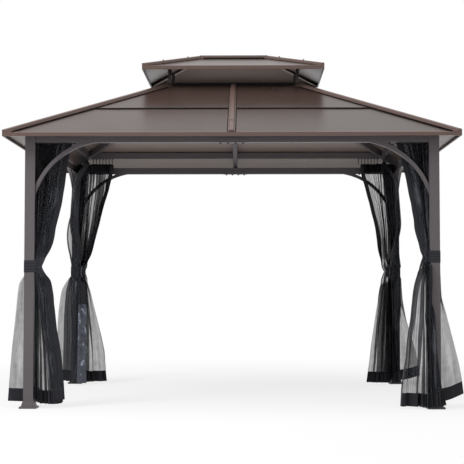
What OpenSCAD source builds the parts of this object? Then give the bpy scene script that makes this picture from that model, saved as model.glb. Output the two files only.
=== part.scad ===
// Garden gazebo with a two tier hipped metal roof on four posts.
// Insect nets hang from rails under the roof and are tied back to the posts.
// All lengths are millimetres. X is the width, front is -Y, Z is up.
// The origin is on the ground at the middle of the plan.

/* [Frame] */
// width over the outer faces of the posts
frame_w = 3300; // [2600:10:4200]
// depth over the outer faces of the posts
frame_d = 2690; // [2200:10:3600]
// side of a square post
post_w = 80; // [60:1:120]
// wall of the posts and beams
tube_wall = 2; // [1:0.5:4]
// height of the underside of the beams
beam_z = 2113; // [1900:1:2500]
// height of a beam
beam_h = 62; // [40:1:100]
// thickness of a beam
beam_t = 50; // [30:1:80]
// set back of the beams from the outer face of the posts
beam_inset = 8; // [0:1:20]
// rise of the posts above the beams
post_rise = 15; // [0:1:40]

/* [Feet] */
// side of the base plate under a post
plate_w = 128; // [110:1:180]
// thickness of the base plate
plate_t = 6; // [4:0.5:12]
// distance between the anchor holes
anchor_pitch = 104; // [90:1:140]
// diameter of an anchor hole
anchor_d = 11; // [8:0.5:16]
// side of the flange of a foot cover
foot_w = 138; // [110:1:180]
// height of the flange of a foot cover
foot_flange_h = 14; // [8:1:30]
// side of the flared skirt where it meets the flange
foot_skirt_w = 112; // [90:1:150]
// height of a foot cover
foot_h = 58; // [40:1:90]
// wall of a foot cover
foot_wall = 3; // [1.5:0.5:5]

/* [Splices] */
// length of the channel that joins the two halves of a beam
splice_l = 240; // [120:10:400]
// height of its sides
splice_h = 36; // [20:1:60]
// sheet thickness of the channel
splice_t = 2; // [1:0.5:4]

/* [Braces] */
// mean radius of a curved corner brace
brace_r = 617; // [400:1:900]
// distance below the beams where a brace meets its post
brace_drop = 380; // [250:5:550]
// distance from the post where a brace meets its beam
brace_reach = 412; // [250:5:550]
// width of a brace in its plane
brace_w = 30; // [15:1:50]
// thickness of a brace
brace_t = 30; // [15:1:50]

/* [Lower roof] */
// overhang of the roof beyond the posts
eave_over = 155; // [80:5:400]
// height of the top of the roof at the eaves above the underside of the beams
eave_rise = 57; // [30:1:120]
// pitch in degrees
roof_pitch = 25.2; // [15:0.2:40]
// depth of the opening at the crown
crown_d = 550; // [400:10:900]
// share of the run below the lap of the sheets
lap_share = 0.48; // [0.3:0.01:0.7]
// width of the lap
lap_w = 30; // [15:1:60]
// thickness of a roof sheet
sheet_t = 3; // [0.5:0.5:5]
// width of the gap between two sheets under a cap
sheet_gap = 12; // [4:1:20]

/* [Caps and battens] */
// width of a hip cap
hip_cap_w = 86; // [50:1:140]
// width of the raised middle of a hip cap
hip_cap_mid_w = 44; // [20:1:100]
// rise of a cap above the roof plane
cap_rise = 24; // [10:1:40]
// width of a batten
batten_w = 58; // [30:1:100]
// width of the raised middle of a batten
batten_mid_w = 32; // [15:1:60]
// rise of a batten above the roof plane
batten_rise = 20; // [8:1:40]
// thickness of the flanges of caps and battens
cap_flange_t = 3; // [1:0.5:6]
// slant of the sides of the raised middle
cap_slant = 5; // [1:0.5:12]

/* [Eave trims] */
// height of the lower eave trim
trim_h = 26; // [15:1:60]
// height of the upper eave trim
upper_trim_h = 29; // [15:1:60]
// sheet thickness of a trim
trim_t = 2; // [1:0.5:4]
// width of the lip on top of the sheets
trim_lip_w = 16; // [8:1:40]
// width of the return under the sheets
trim_return_w = 12; // [6:1:40]

/* [Roof frame] */
// width of a hip rafter
hip_rafter_w = 40; // [25:1:70]
// width of a centre rafter
rafter_w = 42; // [25:1:70]
// depth of the rafters
rafter_h = 65; // [40:1:100]
// distance of the net rails inside the outer faces of the posts
rail_in = 175; // [100:5:300]
// width of a net rail
rail_w = 30; // [20:1:60]
// height of a net rail
rail_h = 60; // [30:1:90]
// width of a middle purlin
purlin_w = 30; // [20:1:60]
// height of a middle purlin
purlin_h = 40; // [20:1:90]
// width of a crown bar
crown_bar_w = 28; // [20:1:60]
// height of a crown bar
crown_bar_h = 70; // [40:1:120]
// rise of the crown bars above the roof plane
crown_rise = 26; // [10:1:60]

/* [Upper roof] */
// overhang of the upper roof beyond the middle of the crown bars
upper_over = 228; // [150:1:400]
// height of the vent, from the crown bars to the eaves of the upper roof
vent_h = 114; // [60:1:300]
// pitch in degrees
upper_pitch = 18; // [10:0.5:40]
// side of a short post between the roofs
short_post_w = 27; // [18:1:50]
// width of an upper hip rafter
upper_rafter_w = 25; // [15:1:50]
// depth of an upper hip rafter
upper_rafter_h = 24; // [15:1:60]
// width of the ridge beam
ridge_beam_w = 25; // [15:1:50]
// height of the ridge beam
ridge_beam_h = 40; // [20:1:80]
// width of an upper cap
upper_cap_w = 72; // [40:1:120]
// width of the raised middle of an upper cap
upper_cap_mid_w = 40; // [20:1:80]
// rise of an upper cap above the roof plane
upper_cap_rise = 28; // [10:1:45]

/* [Nets] */
// length of the hooks between the rails and the nets
hook_l = 52; // [20:1:90]
// height of the hem above the ground
net_hem_z = 40; // [10:5:120]
// end of a gathered header along its rail, from the middle of the post
net_head_reach = 385; // [250:5:600]
// depth of a gathered header
net_head_t = 44; // [20:1:80]
// width of a bundle at the tie, away from the post
net_waist_t = 46; // [30:1:90]
// clearance of the bundles from the post
net_clear = 2; // [0.5:0.5:10]
// reach of a front or back hem along its rail
net_hem_reach = 300; // [200:5:500]
// reach of a front or back hem inward from the middle of the post
net_hem_in = 125; // [60:5:250]
// reach of a front or back hem outward from the middle of the post
net_hem_out = 45; // [20:5:250]
// reach of a side hem outward from the middle of the post
net_side_out = 185; // [40:5:250]
// reach of a side hem along its rail
net_side_reach = 265; // [200:5:500]
// height of the lower edge of the ties
tie_z = 1074; // [700:1:1500]
// height of the lower edge of the tie at the front right post
tie_front_right_z = 1150; // [700:1:1500]
// width of a tie
tie_w = 94; // [40:1:150]
// thickness of a tie
tie_t = 3; // [1:0.5:5]
// diameter of the stem of a net hook
hook_d = 6; // [3:0.5:12]
// diameter of the glider of a net hook
hook_glider_d = 18; // [8:1:30]
// height of the glider of a net hook
hook_glider_h = 5; // [2:0.5:12]

/* [Hidden] */
// clearance between neighbouring pieces
joint = 0.4;
// overrun of a cut
over = 5;
// segments of a round, and of the wide arcs of the braces
$fn = 64;
arc_facets = 360;

// shares of the way from the header to the tie, and of the closing of a net there
net_fall_shares = [0, 0.1, 0.25, 0.4, 0.55, 0.7, 0.85, 1];
net_close_shares = [0, 0.03, 0.12, 0.25, 0.41, 0.59, 0.79, 1];
// shares of the way from the tie to the hem, and of the opening of a net there
net_drop_shares = [0, 0.08, 0.25, 0.5, 0.8, 1];
net_open_shares = [0, 0.36, 0.52, 0.7, 0.9, 1];
// points round a net and the squareness of its section
net_points = 20;
net_round_share = 0.7;
// hooks along a gathered header
hook_shares = [0.05, 0.2, 0.35, 0.5, 0.65, 0.8, 0.95];

post_h = beam_z + beam_h + post_rise;
eave_z = beam_z + eave_rise;
post_x = frame_w/2 - post_w/2;
post_y = frame_d/2 - post_w/2;
roof_x = frame_w/2 + eave_over;
roof_y = frame_d/2 + eave_over;
roof_run = roof_y - crown_d/2;
roof_rise = roof_run*tan(roof_pitch);
crown_x = roof_x - roof_run;
crown_y = crown_d/2;
crown_z = eave_z + roof_rise;
hip_pitch = atan(tan(roof_pitch)/sqrt(2));
hip_l = roof_run*sqrt(2)/cos(hip_pitch);
lap_s = lap_share*roof_run/cos(roof_pitch);
slope_s = roof_run/cos(roof_pitch);
lap_lift = sheet_t + 2*joint;
lip_lift = trim_t + 2*joint;
short_x = crown_x - crown_bar_w/2;
short_y = crown_y - crown_bar_w/2;
upper_eave_z = crown_z + crown_rise + vent_h;
upper_x = short_x + upper_over;
upper_y = short_y + upper_over;
ridge_x = upper_x - upper_y;
ridge_z = upper_eave_z + upper_y*tan(upper_pitch);
upper_hip_pitch = atan(tan(upper_pitch)/sqrt(2));
upper_hip_l = upper_y*sqrt(2)/cos(upper_hip_pitch);
brace_chord = sqrt(brace_drop*brace_drop + brace_reach*brace_reach);
brace_sink = sqrt(brace_r*brace_r - brace_chord*brace_chord/4);
brace_cx = brace_reach/2 + brace_sink*brace_drop/brace_chord;
brace_cz = brace_drop/2 + brace_sink*brace_reach/brace_chord;
rail_in_post = rail_in - post_w/2;
rail_top_z = eave_z + (eave_over + rail_in - rail_w/2)*tan(roof_pitch) - (sheet_t + joint)/cos(roof_pitch);
rail_z = rail_top_z - rail_h;
net_top_z = rail_z - hook_l;
frame_big = frame_w + frame_d;

// Placing. Corner pieces are drawn at the back right and mirrored to the other corners.

module corner(right, back) {
    mirror([right ? 0 : 1, 0, 0])
    mirror([0, back ? 0 : 1, 0])
    children();
}

module each_corner() {
    for (right = [false, true])
        for (back = [false, true])
            corner(right, back) children();
}

// Slope pieces are drawn on the front slope: x along the eave, y up the slope, z out of the roof.
module on_slope(distance, height, pitch) {
    translate([0, -distance, height])
    rotate([pitch, 0, 0])
    children();
}

// Hip pieces are drawn with x up the hip, y across it and z out of the roof.
module on_hip(x, y, height, pitch) {
    translate([x, y, height])
    rotate([0, 0, 225])
    rotate([0, -pitch, 0])
    children();
}

module along_x(length) {
    rotate([90, 0, 90])
    linear_extrude(length)
    children();
}

module tube_x(length, depth, height) {
    difference() {
        cube([length, depth, height]);
        translate([-over, tube_wall, tube_wall])
            cube([length + 2*over, depth - 2*tube_wall, height - 2*tube_wall]);
    }
}

// Posts and feet

module post() {
    translate([post_x, post_y, 0]) {
        difference() {
            translate([-post_w/2, -post_w/2, 0])
                cube([post_w, post_w, post_h]);
            translate([tube_wall - post_w/2, tube_wall - post_w/2, plate_t])
                cube([post_w - 2*tube_wall, post_w - 2*tube_wall, post_h]);
        }
        difference() {
            translate([-plate_w/2, -plate_w/2, 0])
                cube([plate_w, plate_w, plate_t]);
            for (sx = [-1, 1])
                for (sy = [-1, 1])
                    translate([sx*anchor_pitch/2, sy*anchor_pitch/2, -over])
                        cylinder(d = anchor_d, h = plate_t + 2*over);
        }
    }
}

module flare(flange, flange_top, skirt, neck, height) {
    intersection_for (turn = [0, 90])
        rotate([90, 0, turn])
        translate([0, 0, -flange])
        linear_extrude(2*flange)
        polygon([[-flange, 0], [flange, 0], [flange, flange_top], [skirt, flange_top],
            [neck, height], [-neck, height], [-skirt, flange_top], [-flange, flange_top]]);
}

module foot_cover() {
    translate([post_x, post_y, 0])
    difference() {
        flare(foot_w/2, foot_flange_h, foot_skirt_w/2, post_w/2 + foot_wall, foot_h);
        translate([0, 0, -foot_wall])
            flare(foot_w/2 - foot_wall, foot_flange_h, foot_skirt_w/2 - foot_wall, post_w/2, foot_h);
        translate([-post_w/2 - joint, -post_w/2 - joint, -over])
            cube([post_w + 2*joint, post_w + 2*joint, foot_h + 2*over]);
    }
}

module post_front_left() { color("#5f5a5c") corner(false, false) post(); }
module post_front_right() { color("#5f5a5c") corner(true, false) post(); }
module post_back_left() { color("#5f5a5c") corner(false, true) post(); }
module post_back_right() { color("#5f5a5c") corner(true, true) post(); }
module foot_covers() { color("#5a5557") each_corner() foot_cover(); }

// Beams, splices and braces

module beam_halves(span, distance) {
    for (side = [0, 1])
        mirror([side, 0, 0])
        translate([joint/2, -distance + beam_inset, beam_z])
            tube_x(span/2 - post_w - joint - joint/2, beam_t, beam_h);
}

module splice(distance) {
    reach = splice_t + joint;
    translate([-splice_l/2, -distance + beam_inset - reach, beam_z - reach])
    difference() {
        cube([splice_l, beam_t + 2*reach, splice_h]);
        translate([-over, splice_t, splice_t])
            cube([splice_l + 2*over, beam_t + 2*joint, splice_h]);
    }
}

// arc in the XZ plane from the inner face of a post up to the beam beside it
module brace(face, distance) {
    translate([face, distance, beam_z])
    intersection() {
        translate([-joint - frame_w, -over - brace_t, -joint - frame_w])
            cube([frame_w, brace_t + 2*over, frame_w]);
        translate([-brace_cx, 0, -brace_cz])
        rotate([90, 0, 0])
        difference() {
            cylinder(r = brace_r + brace_w/2, h = brace_t, $fn = arc_facets);
            translate([0, 0, -over])
                cylinder(r = brace_r - brace_w/2, h = brace_t + 2*over, $fn = arc_facets);
            translate([-frame_w, -frame_w, -over])
                cube([frame_w, 2*frame_w, brace_t + 2*over]);
            translate([-frame_w, -frame_w, -over])
                cube([2*frame_w, frame_w, brace_t + 2*over]);
        }
    }
}

module corner_braces() {
    inset = beam_inset + beam_t/2 - brace_t/2;
    brace(frame_w/2 - post_w, frame_d/2 - inset);
    mirror([1, -1, 0])
        brace(frame_d/2 - post_w, frame_w/2 - inset);
}

module front_beam() { color("#4a4648") beam_halves(frame_w, frame_d/2); }
module back_beam() { color("#4a4648") rotate([0, 0, 180]) beam_halves(frame_w, frame_d/2); }
module left_beam() { color("#4a4648") rotate([0, 0, -90]) beam_halves(frame_d, frame_w/2); }
module right_beam() { color("#4a4648") rotate([0, 0, 90]) beam_halves(frame_d, frame_w/2); }
module beam_splices() {
    color("#444042")
    for (turn = [0, 180]) {
        rotate([0, 0, turn]) splice(frame_d/2);
        rotate([0, 0, turn + 90]) splice(frame_w/2);
    }
}
module front_left_braces() { color("#6a6567") corner(false, false) corner_braces(); }
module front_right_braces() { color("#6a6567") corner(true, false) corner_braces(); }
module back_left_braces() { color("#6a6567") corner(false, true) corner_braces(); }
module back_right_braces() { color("#6a6567") corner(true, true) corner_braces(); }

// Roof frame

// five sided bar under a hip, with its two top faces parallel to the sheets
module hip_bar(length, width, depth, pitch, gap) {
    sink = (sheet_t + joint)/cos(pitch);
    edge = width/2 + gap;
    translate([-gap, 0, 0])
    along_x(length + 2*gap)
    polygon([[0, gap - sink], [edge, gap - sink - edge*sin(pitch)], [edge, -sink - depth - gap],
        [-edge, -sink - depth - gap], [-edge, gap - sink - edge*sin(pitch)]]);
}

module crown_block(gap) {
    translate([-crown_x - gap, -crown_y - gap, crown_z - frame_w])
        cube([2*crown_x + 2*gap, 2*crown_y + 2*gap, 2*frame_w]);
}

// hip rafter of the back right corner, notched over the post and cut round the crown
module hip_rafter() {
    difference() {
        on_hip(roof_x, roof_y, eave_z, hip_pitch)
            hip_bar(hip_l, hip_rafter_w, rafter_h, hip_pitch, 0);
        crown_block(joint);
        translate([post_x - post_w/2 - joint, post_y - post_w/2 - joint, 0])
            cube([roof_x, roof_y, post_h + joint]);
        translate([frame_w/2 - joint, -over, 0])
            cube([roof_x, roof_x, frame_big]);
        translate([-over, frame_d/2 - joint, 0])
            cube([roof_x, roof_x, frame_big]);
    }
}

module hip_rafter_space() {
    each_corner()
        on_hip(roof_x, roof_y, eave_z, hip_pitch)
        hip_bar(hip_l, hip_rafter_w, 2*rafter_h, hip_pitch, joint);
}

// rafter up the middle of a slope, notched over the beam
module centre_rafter(distance) {
    difference() {
        on_slope(distance, eave_z, roof_pitch)
        translate([-rafter_w/2, 0, -sheet_t - joint - rafter_h])
            cube([rafter_w, slope_s, rafter_h]);
        crown_block(joint);
        translate([-rafter_w, -distance - over, 0])
            cube([2*rafter_w, eave_over + beam_inset + over, frame_big]);
        translate([-rafter_w, -distance + eave_over - over, 0])
            cube([2*rafter_w, beam_inset + beam_t + over + joint, beam_z + beam_h + joint]);
    }
}

// level bar under a slope, between the hip rafters and the centre rafter
module cross_bar(turn, half, distance, drop, width, height) {
    top = eave_z + (drop - width/2)*tan(roof_pitch) - (sheet_t + joint)/cos(roof_pitch);
    difference() {
        rotate([0, 0, turn])
        translate([drop - half, drop - distance - width/2, top - height])
            cube([2*(half - drop), width, height]);
        hip_rafter_space();
        rotate([0, 0, turn])
        translate([-rafter_w/2 - joint, -distance, 0])
            cube([rafter_w + 2*joint, distance, frame_big]);
    }
}

module net_rail(turn, half, distance) {
    cross_bar(turn, half, distance, eave_over + rail_in, rail_w, rail_h);
}

module middle_purlin(turn, half, distance) {
    cross_bar(turn, half, distance, lap_share*roof_run, purlin_w, purlin_h);
}

module crown_bar(length, distance) {
    translate([-length/2, -distance, crown_z + crown_rise - crown_bar_h])
        cube([length, crown_bar_w, crown_bar_h]);
}

module front_net_rail() { color("#474345") net_rail(0, roof_x, roof_y); }
module back_net_rail() { color("#474345") net_rail(180, roof_x, roof_y); }
module left_net_rail() { color("#474345") net_rail(-90, roof_y, roof_x); }
module right_net_rail() { color("#474345") net_rail(90, roof_y, roof_x); }
module hip_rafters() { color("#3f3b3d") each_corner() hip_rafter(); }
module centre_rafters() {
    color("#3f3b3d")
    for (turn = [0, 180]) {
        rotate([0, 0, turn]) centre_rafter(roof_y);
        rotate([0, 0, turn + 90])
        difference() {
            centre_rafter(roof_x);
            rotate([0, 0, 90]) crown_block(joint);
        }
    }
}
module middle_purlins() {
    color("#3f3b3d")
    for (turn = [0, 180]) {
        middle_purlin(turn, roof_x, roof_y);
        middle_purlin(turn + 90, roof_y, roof_x);
    }
}
module crown_bars() {
    color("#3a3638")
    for (turn = [0, 180]) {
        rotate([0, 0, turn]) crown_bar(2*crown_x, crown_y);
        rotate([0, 0, turn + 90]) crown_bar(2*(crown_y - crown_bar_w - joint), crown_x);
    }
}

// Lower roof

// half width of a slope at a distance up it, clear of the hip
function hip_edge(half, s, pitch) = half - s*cos(pitch) - sheet_gap/2;

module half_sheet(half, s0, s1) {
    linear_extrude(sheet_t)
    polygon([[sheet_gap/2, s0], [hip_edge(half, s0, roof_pitch), s0],
        [hip_edge(half, s1, roof_pitch), s1], [sheet_gap/2, s1]]);
}

module slope_sheets(turn, half, distance) {
    rotate([0, 0, turn])
    on_slope(distance, eave_z, roof_pitch)
    for (side = [0, 1])
        mirror([side, 0, 0]) {
            translate([0, 0, -sheet_t])
                half_sheet(half, trim_t + joint, lap_s + lap_w);
            translate([0, 0, joint])
                half_sheet(half, lap_s, slope_s);
        }
}

// section of a cap: flat flanges and a raised middle, bent down on both sides by a slope
module cap_section(width, mid, rise, base, bend) {
    flange = base + cap_flange_t;
    foot = mid/2 + cap_slant;
    polygon([[-width/2, base - bend*width/2], [0, base], [width/2, base - bend*width/2],
        [width/2, flange - bend*width/2], [foot, flange - bend*foot], [mid/2, rise - bend*mid/2],
        [0, rise], [-mid/2, rise - bend*mid/2], [-foot, flange - bend*foot],
        [-width/2, flange - bend*width/2]]);
}

module batten_section() {
    base = lap_lift;
    flange = base + cap_flange_t;
    foot = batten_mid_w/2 + cap_slant;
    polygon([[-batten_w/2, base], [batten_w/2, base], [batten_w/2, flange], [foot, flange],
        [batten_mid_w/2, batten_rise], [-batten_mid_w/2, batten_rise], [-foot, flange],
        [-batten_w/2, flange]]);
}

module hip_cap() {
    difference() {
        intersection() {
            on_hip(roof_x, roof_y, eave_z, hip_pitch)
            translate([-hip_cap_w, 0, 0])
                along_x(hip_l + 2*hip_cap_w)
                cap_section(hip_cap_w, hip_cap_mid_w, cap_rise, lap_lift, sin(hip_pitch));
            cube([roof_x, roof_y, frame_big]);
        }
        crown_block(joint);
    }
}

module slope_batten(distance) {
    start = batten_rise*tan(roof_pitch);
    on_slope(distance, eave_z, roof_pitch)
    translate([0, start, 0])
    rotate([0, 0, 90])
    along_x(slope_s - start - joint)
    batten_section();
}

// section of an eave trim: upright face, lip on the sheets and return below, x out from the eave
module trim_section(height, pitch) {
    lip = joint/cos(pitch);
    polygon([[0, -height], [0, lip + trim_t], [-trim_lip_w, lip + trim_t + trim_lip_w*tan(pitch)],
        [-trim_lip_w, lip + trim_lip_w*tan(pitch)], [-trim_t, lip + trim_t*tan(pitch)],
        [-trim_t, trim_t - height], [-trim_return_w, trim_t - height], [-trim_return_w, -height]]);
}

module eave_trim(half, distance, level, height, pitch) {
    intersection() {
        translate([half, -distance, level])
        rotate([90, 0, -90])
        linear_extrude(2*half)
            trim_section(height, pitch);
        translate([0, 0, level - distance])
        linear_extrude(2*distance)
        polygon([[joint - half, -distance], [half - joint, -distance],
            [half - joint - distance, 0], [joint + distance - half, 0]]);
    }
}

module front_sheets() { color("#7d726c") slope_sheets(0, roof_x, roof_y); }
module back_sheets() { color("#7d726c") slope_sheets(180, roof_x, roof_y); }
module left_sheets() { color("#786d67") slope_sheets(-90, roof_y, roof_x); }
module right_sheets() { color("#786d67") slope_sheets(90, roof_y, roof_x); }
module hip_caps() { color("#857a74") each_corner() hip_cap(); }
module slope_battens() {
    color("#857a74")
    for (turn = [0, 180]) {
        rotate([0, 0, turn]) slope_batten(roof_y);
        rotate([0, 0, turn + 90]) slope_batten(roof_x);
    }
}
module eave_trims() {
    color("#766963")
    for (turn = [0, 180]) {
        rotate([0, 0, turn]) eave_trim(roof_x, roof_y, eave_z, trim_h, roof_pitch);
        rotate([0, 0, turn + 90]) eave_trim(roof_y, roof_x, eave_z, trim_h, roof_pitch);
    }
}

// Upper roof

module short_post() {
    difference() {
        translate([short_x - short_post_w/2, short_y - short_post_w/2, crown_z + crown_rise + joint])
            cube([short_post_w, short_post_w, upper_eave_z - crown_z + upper_over*tan(upper_pitch)]);
        on_hip(upper_x, upper_y, upper_eave_z, upper_hip_pitch)
        translate([0, -short_post_w, -(sheet_t + joint)/cos(upper_hip_pitch) - upper_rafter_h - joint])
            cube([upper_hip_l, 2*short_post_w, upper_over]);
    }
}

module upper_hip_rafter() {
    difference() {
        on_hip(upper_x, upper_y, upper_eave_z, upper_hip_pitch)
            hip_bar(upper_hip_l, upper_rafter_w, upper_rafter_h, upper_hip_pitch, 0);
        translate([-upper_x, -upper_y, 0])
            cube([2*upper_x, upper_y + ridge_beam_w/2 + joint, frame_big]);
        translate([upper_x - trim_return_w - joint, -over, 0])
            cube([upper_x, upper_y + 2*over, frame_big]);
        translate([-over, upper_y - trim_return_w - joint, 0])
            cube([upper_x + 2*over, upper_y, frame_big]);
    }
}

// single sheet of the upper roof, a triangle at the ends
module upper_sheet(turn, half, distance) {
    s1 = upper_y/cos(upper_pitch) - sheet_gap/2;
    tip = max(hip_edge(half, s1, upper_pitch), 0);
    s2 = min(s1, (half - sheet_gap/2)/cos(upper_pitch));
    rotate([0, 0, turn])
    on_slope(distance, upper_eave_z, upper_pitch)
    translate([0, 0, -sheet_t])
    linear_extrude(sheet_t)
        polygon(tip > 0
            ? [[-hip_edge(half, trim_t, upper_pitch), trim_t + joint],
                [hip_edge(half, trim_t, upper_pitch), trim_t + joint], [tip, s2], [-tip, s2]]
            : [[-hip_edge(half, trim_t, upper_pitch), trim_t + joint],
                [hip_edge(half, trim_t, upper_pitch), trim_t + joint], [0, s2]]);
}

module upper_hip_cap() {
    intersection() {
        on_hip(upper_x, upper_y, upper_eave_z, upper_hip_pitch)
        translate([-upper_cap_w, 0, 0])
            along_x(upper_hip_l + 2*upper_cap_w)
            cap_section(upper_cap_w, upper_cap_mid_w, cap_rise, lip_lift, sin(upper_hip_pitch));
        translate([ridge_x + joint, joint, 0])
            cube([upper_x - ridge_x - joint, upper_y - joint, frame_big]);
    }
}

module short_posts() { color("#4a4648") each_corner() short_post(); }
module upper_hip_rafters() { color("#4a4648") each_corner() upper_hip_rafter(); }
module ridge_beam() {
    length = 2*ridge_x + 2*ridge_beam_w;
    top = ridge_z - (sheet_t + joint)/cos(upper_pitch) - ridge_beam_w*tan(upper_pitch) - joint;
    color("#4a4648")
    translate([-length/2, -ridge_beam_w/2, top - ridge_beam_h])
        cube([length, ridge_beam_w, ridge_beam_h]);
}
module upper_front_sheet() { color("#a59c97") upper_sheet(0, upper_x, upper_y); }
module upper_back_sheet() { color("#a59c97") upper_sheet(180, upper_x, upper_y); }
module upper_left_sheet() { color("#a59c97") upper_sheet(-90, upper_y, upper_x); }
module upper_right_sheet() { color("#a59c97") upper_sheet(90, upper_y, upper_x); }
module upper_hip_caps() { color("#857a74") each_corner() upper_hip_cap(); }
module ridge_cap() {
    color("#857a74")
    translate([-ridge_x, 0, ridge_z])
        along_x(2*ridge_x)
        cap_section(upper_cap_w, upper_cap_mid_w, upper_cap_rise, lip_lift, tan(upper_pitch));
}
module upper_eave_trims() {
    color("#766963")
    for (turn = [0, 180]) {
        rotate([0, 0, turn]) eave_trim(upper_x, upper_y, upper_eave_z, upper_trim_h, upper_pitch);
        rotate([0, 0, turn + 90]) eave_trim(upper_y, upper_x, upper_eave_z, upper_trim_h, upper_pitch);
    }
}

// Nets, hooks and ties

function mix(from, to, share) = from + (to - from)*share;
function bend(x) = sign(x)*pow(abs(x), net_round_share);

// outline of a net between two limits along the rail, a, and two limits inward from the post, b
function net_ring(a0, a1, b0, b1) = [for (k = [0:net_points - 1])
    [mix(a0, a1, (1 + bend(cos(360*k/net_points)))/2),
     mix(b0, b1, (1 + bend(sin(360*k/net_points)))/2)]];

// the header runs from the post to its rail at 45 degrees, then along the rail
function head_ring() = let (knee = rail_in_post + net_head_t/2 + net_clear)
    [for (p = net_ring(post_w/2 + 2*net_clear, net_head_reach,
        rail_in_post - net_head_t/2, rail_in_post + net_head_t/2))
        [p[0], p[1] + min(p[0] - knee, 0)]];

function waist_ring() = net_ring(post_w/2 + net_clear, post_w/2 + net_clear + net_waist_t,
    net_clear - post_w/2, post_w/2 - net_clear);

function front_hem_ring() = net_ring(foot_w/2 + net_clear, net_hem_reach, -net_hem_out, net_hem_in);

function side_hem_ring() = net_ring(foot_w/2 + net_clear, net_side_reach,
    -net_side_out, post_w/2 - net_clear);

function level(p, q, share, z) = [for (k = [0:net_points - 1])
    [mix(p[k][0], q[k][0], share), mix(p[k][1], q[k][1], share), z]];

function net_rings(low, hem) = concat(
    [for (i = [0:len(net_fall_shares) - 1])
        level(head_ring(), waist_ring(), net_close_shares[i],
            mix(net_top_z, low + tie_w, net_fall_shares[i]))],
    [for (i = [0:len(net_drop_shares) - 1])
        level(waist_ring(), hem, net_open_shares[i], mix(low, net_hem_z, net_drop_shares[i]))]);

// closed solid through the sections, drawn at the back right corner
module net(rings, along_y) {
    spots = [for (ring = rings)
        for (p = ring)
            along_y ? [post_x - p[1], post_y - p[0], p[2]] : [post_x - p[0], post_y - p[1], p[2]]];
    n = net_points;
    last = len(rings) - 1;
    walls = [for (i = [0:last - 1])
        for (k = [0:n - 1])
            for (half = [0, 1])
                half == 0
                    ? [i*n + k, i*n + (k + 1)%n, (i + 1)*n + k]
                    : [i*n + (k + 1)%n, (i + 1)*n + (k + 1)%n, (i + 1)*n + k]];
    top = [for (k = [0:n - 1]) n - 1 - k];
    bottom = [for (k = [0:n - 1]) last*n + k];
    faces = concat(walls, [top, bottom]);
    turned = [for (f = faces) [for (k = [0:len(f) - 1]) f[len(f) - 1 - k]]];
    polyhedron(spots, along_y ? turned : faces);
}

module rail_side_net(low) { net(net_rings(low, front_hem_ring()), false); }
module end_side_net(low) { net(net_rings(low, side_hem_ring()), true); }

module hook(a, b) {
    top = rail_z - joint;
    translate([post_x - a, post_y - b, net_top_z + joint])
        cylinder(d = hook_d, h = top - net_top_z - joint);
    translate([post_x - a, post_y - b, top - hook_glider_h])
        cylinder(d = hook_glider_d, h = hook_glider_h);
}

// strap round a post and its two bundles
module tie(low) {
    near = post_w/2 + joint;
    far = post_w/2 + net_clear + net_waist_t + joint;
    bevel = far + post_w/2;
    translate([post_x, post_y, low])
    rotate([0, 0, 180])
    linear_extrude(tie_w)
    difference() {
        tie_outline(near + tie_t, far + tie_t, bevel + tie_t*sqrt(2));
        tie_outline(near, far, bevel);
    }
}

module tie_outline(near, far, bevel) {
    polygon([[-near, -near], [far, -near], [far, bevel - far], [bevel - far, far], [-near, far]]);
}

module net_hooks() {
    color("#2a2829")
    each_corner()
    for (share = hook_shares) {
        reach = mix(rail_in_post + hip_rafter_w, net_head_reach, share);
        hook(reach, rail_in_post);
        hook(rail_in_post, reach);
    }
}
module front_net_left() { color("#2b2a2b") corner(false, false) rail_side_net(tie_z); }
module front_net_right() { color("#2b2a2b") corner(true, false) rail_side_net(tie_front_right_z); }
module back_net_left() { color("#2b2a2b") corner(false, true) rail_side_net(tie_z); }
module back_net_right() { color("#2b2a2b") corner(true, true) rail_side_net(tie_z); }
module left_net_front() { color("#2b2a2b") corner(false, false) end_side_net(tie_z); }
module left_net_back() { color("#2b2a2b") corner(false, true) end_side_net(tie_z); }
module right_net_front() { color("#2b2a2b") corner(true, false) end_side_net(tie_front_right_z); }
module right_net_back() { color("#2b2a2b") corner(true, true) end_side_net(tie_z); }
module net_ties() {
    color("#161617") {
        corner(false, false) tie(tie_z);
        corner(true, false) tie(tie_front_right_z);
        corner(false, true) tie(tie_z);
        corner(true, true) tie(tie_z);
    }
}

post_front_left();
post_front_right();
post_back_left();
post_back_right();
foot_covers();
front_beam();
back_beam();
left_beam();
right_beam();
beam_splices();
front_left_braces();
front_right_braces();
back_left_braces();
back_right_braces();
front_net_rail();
back_net_rail();
left_net_rail();
right_net_rail();
net_hooks();
hip_rafters();
centre_rafters();
middle_purlins();
crown_bars();
front_sheets();
back_sheets();
left_sheets();
right_sheets();
hip_caps();
slope_battens();
eave_trims();
short_posts();
upper_hip_rafters();
ridge_beam();
upper_front_sheet();
upper_back_sheet();
upper_left_sheet();
upper_right_sheet();
upper_hip_caps();
ridge_cap();
upper_eave_trims();
front_net_left();
front_net_right();
back_net_left();
back_net_right();
left_net_front();
left_net_back();
right_net_front();
right_net_back();
net_ties();
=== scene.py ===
# %% [markdown]
# ## A garden gazebo, dressed around its CAD frame
# The real object is a steel gazebo: four square posts, a hipped roof in two
# tiers, and black insect nets that are tied back to the posts. The CAD model
# already holds every rigid part, so this script loads it as it is. What is
# left for Blender is what CAD draws badly: cloth, straps, hooks, screw heads
# and the finish of each surface.

# %% Load the frame
import math

import bmesh
import bpy
import numpy as np
from mathutils import Matrix, Vector


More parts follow.
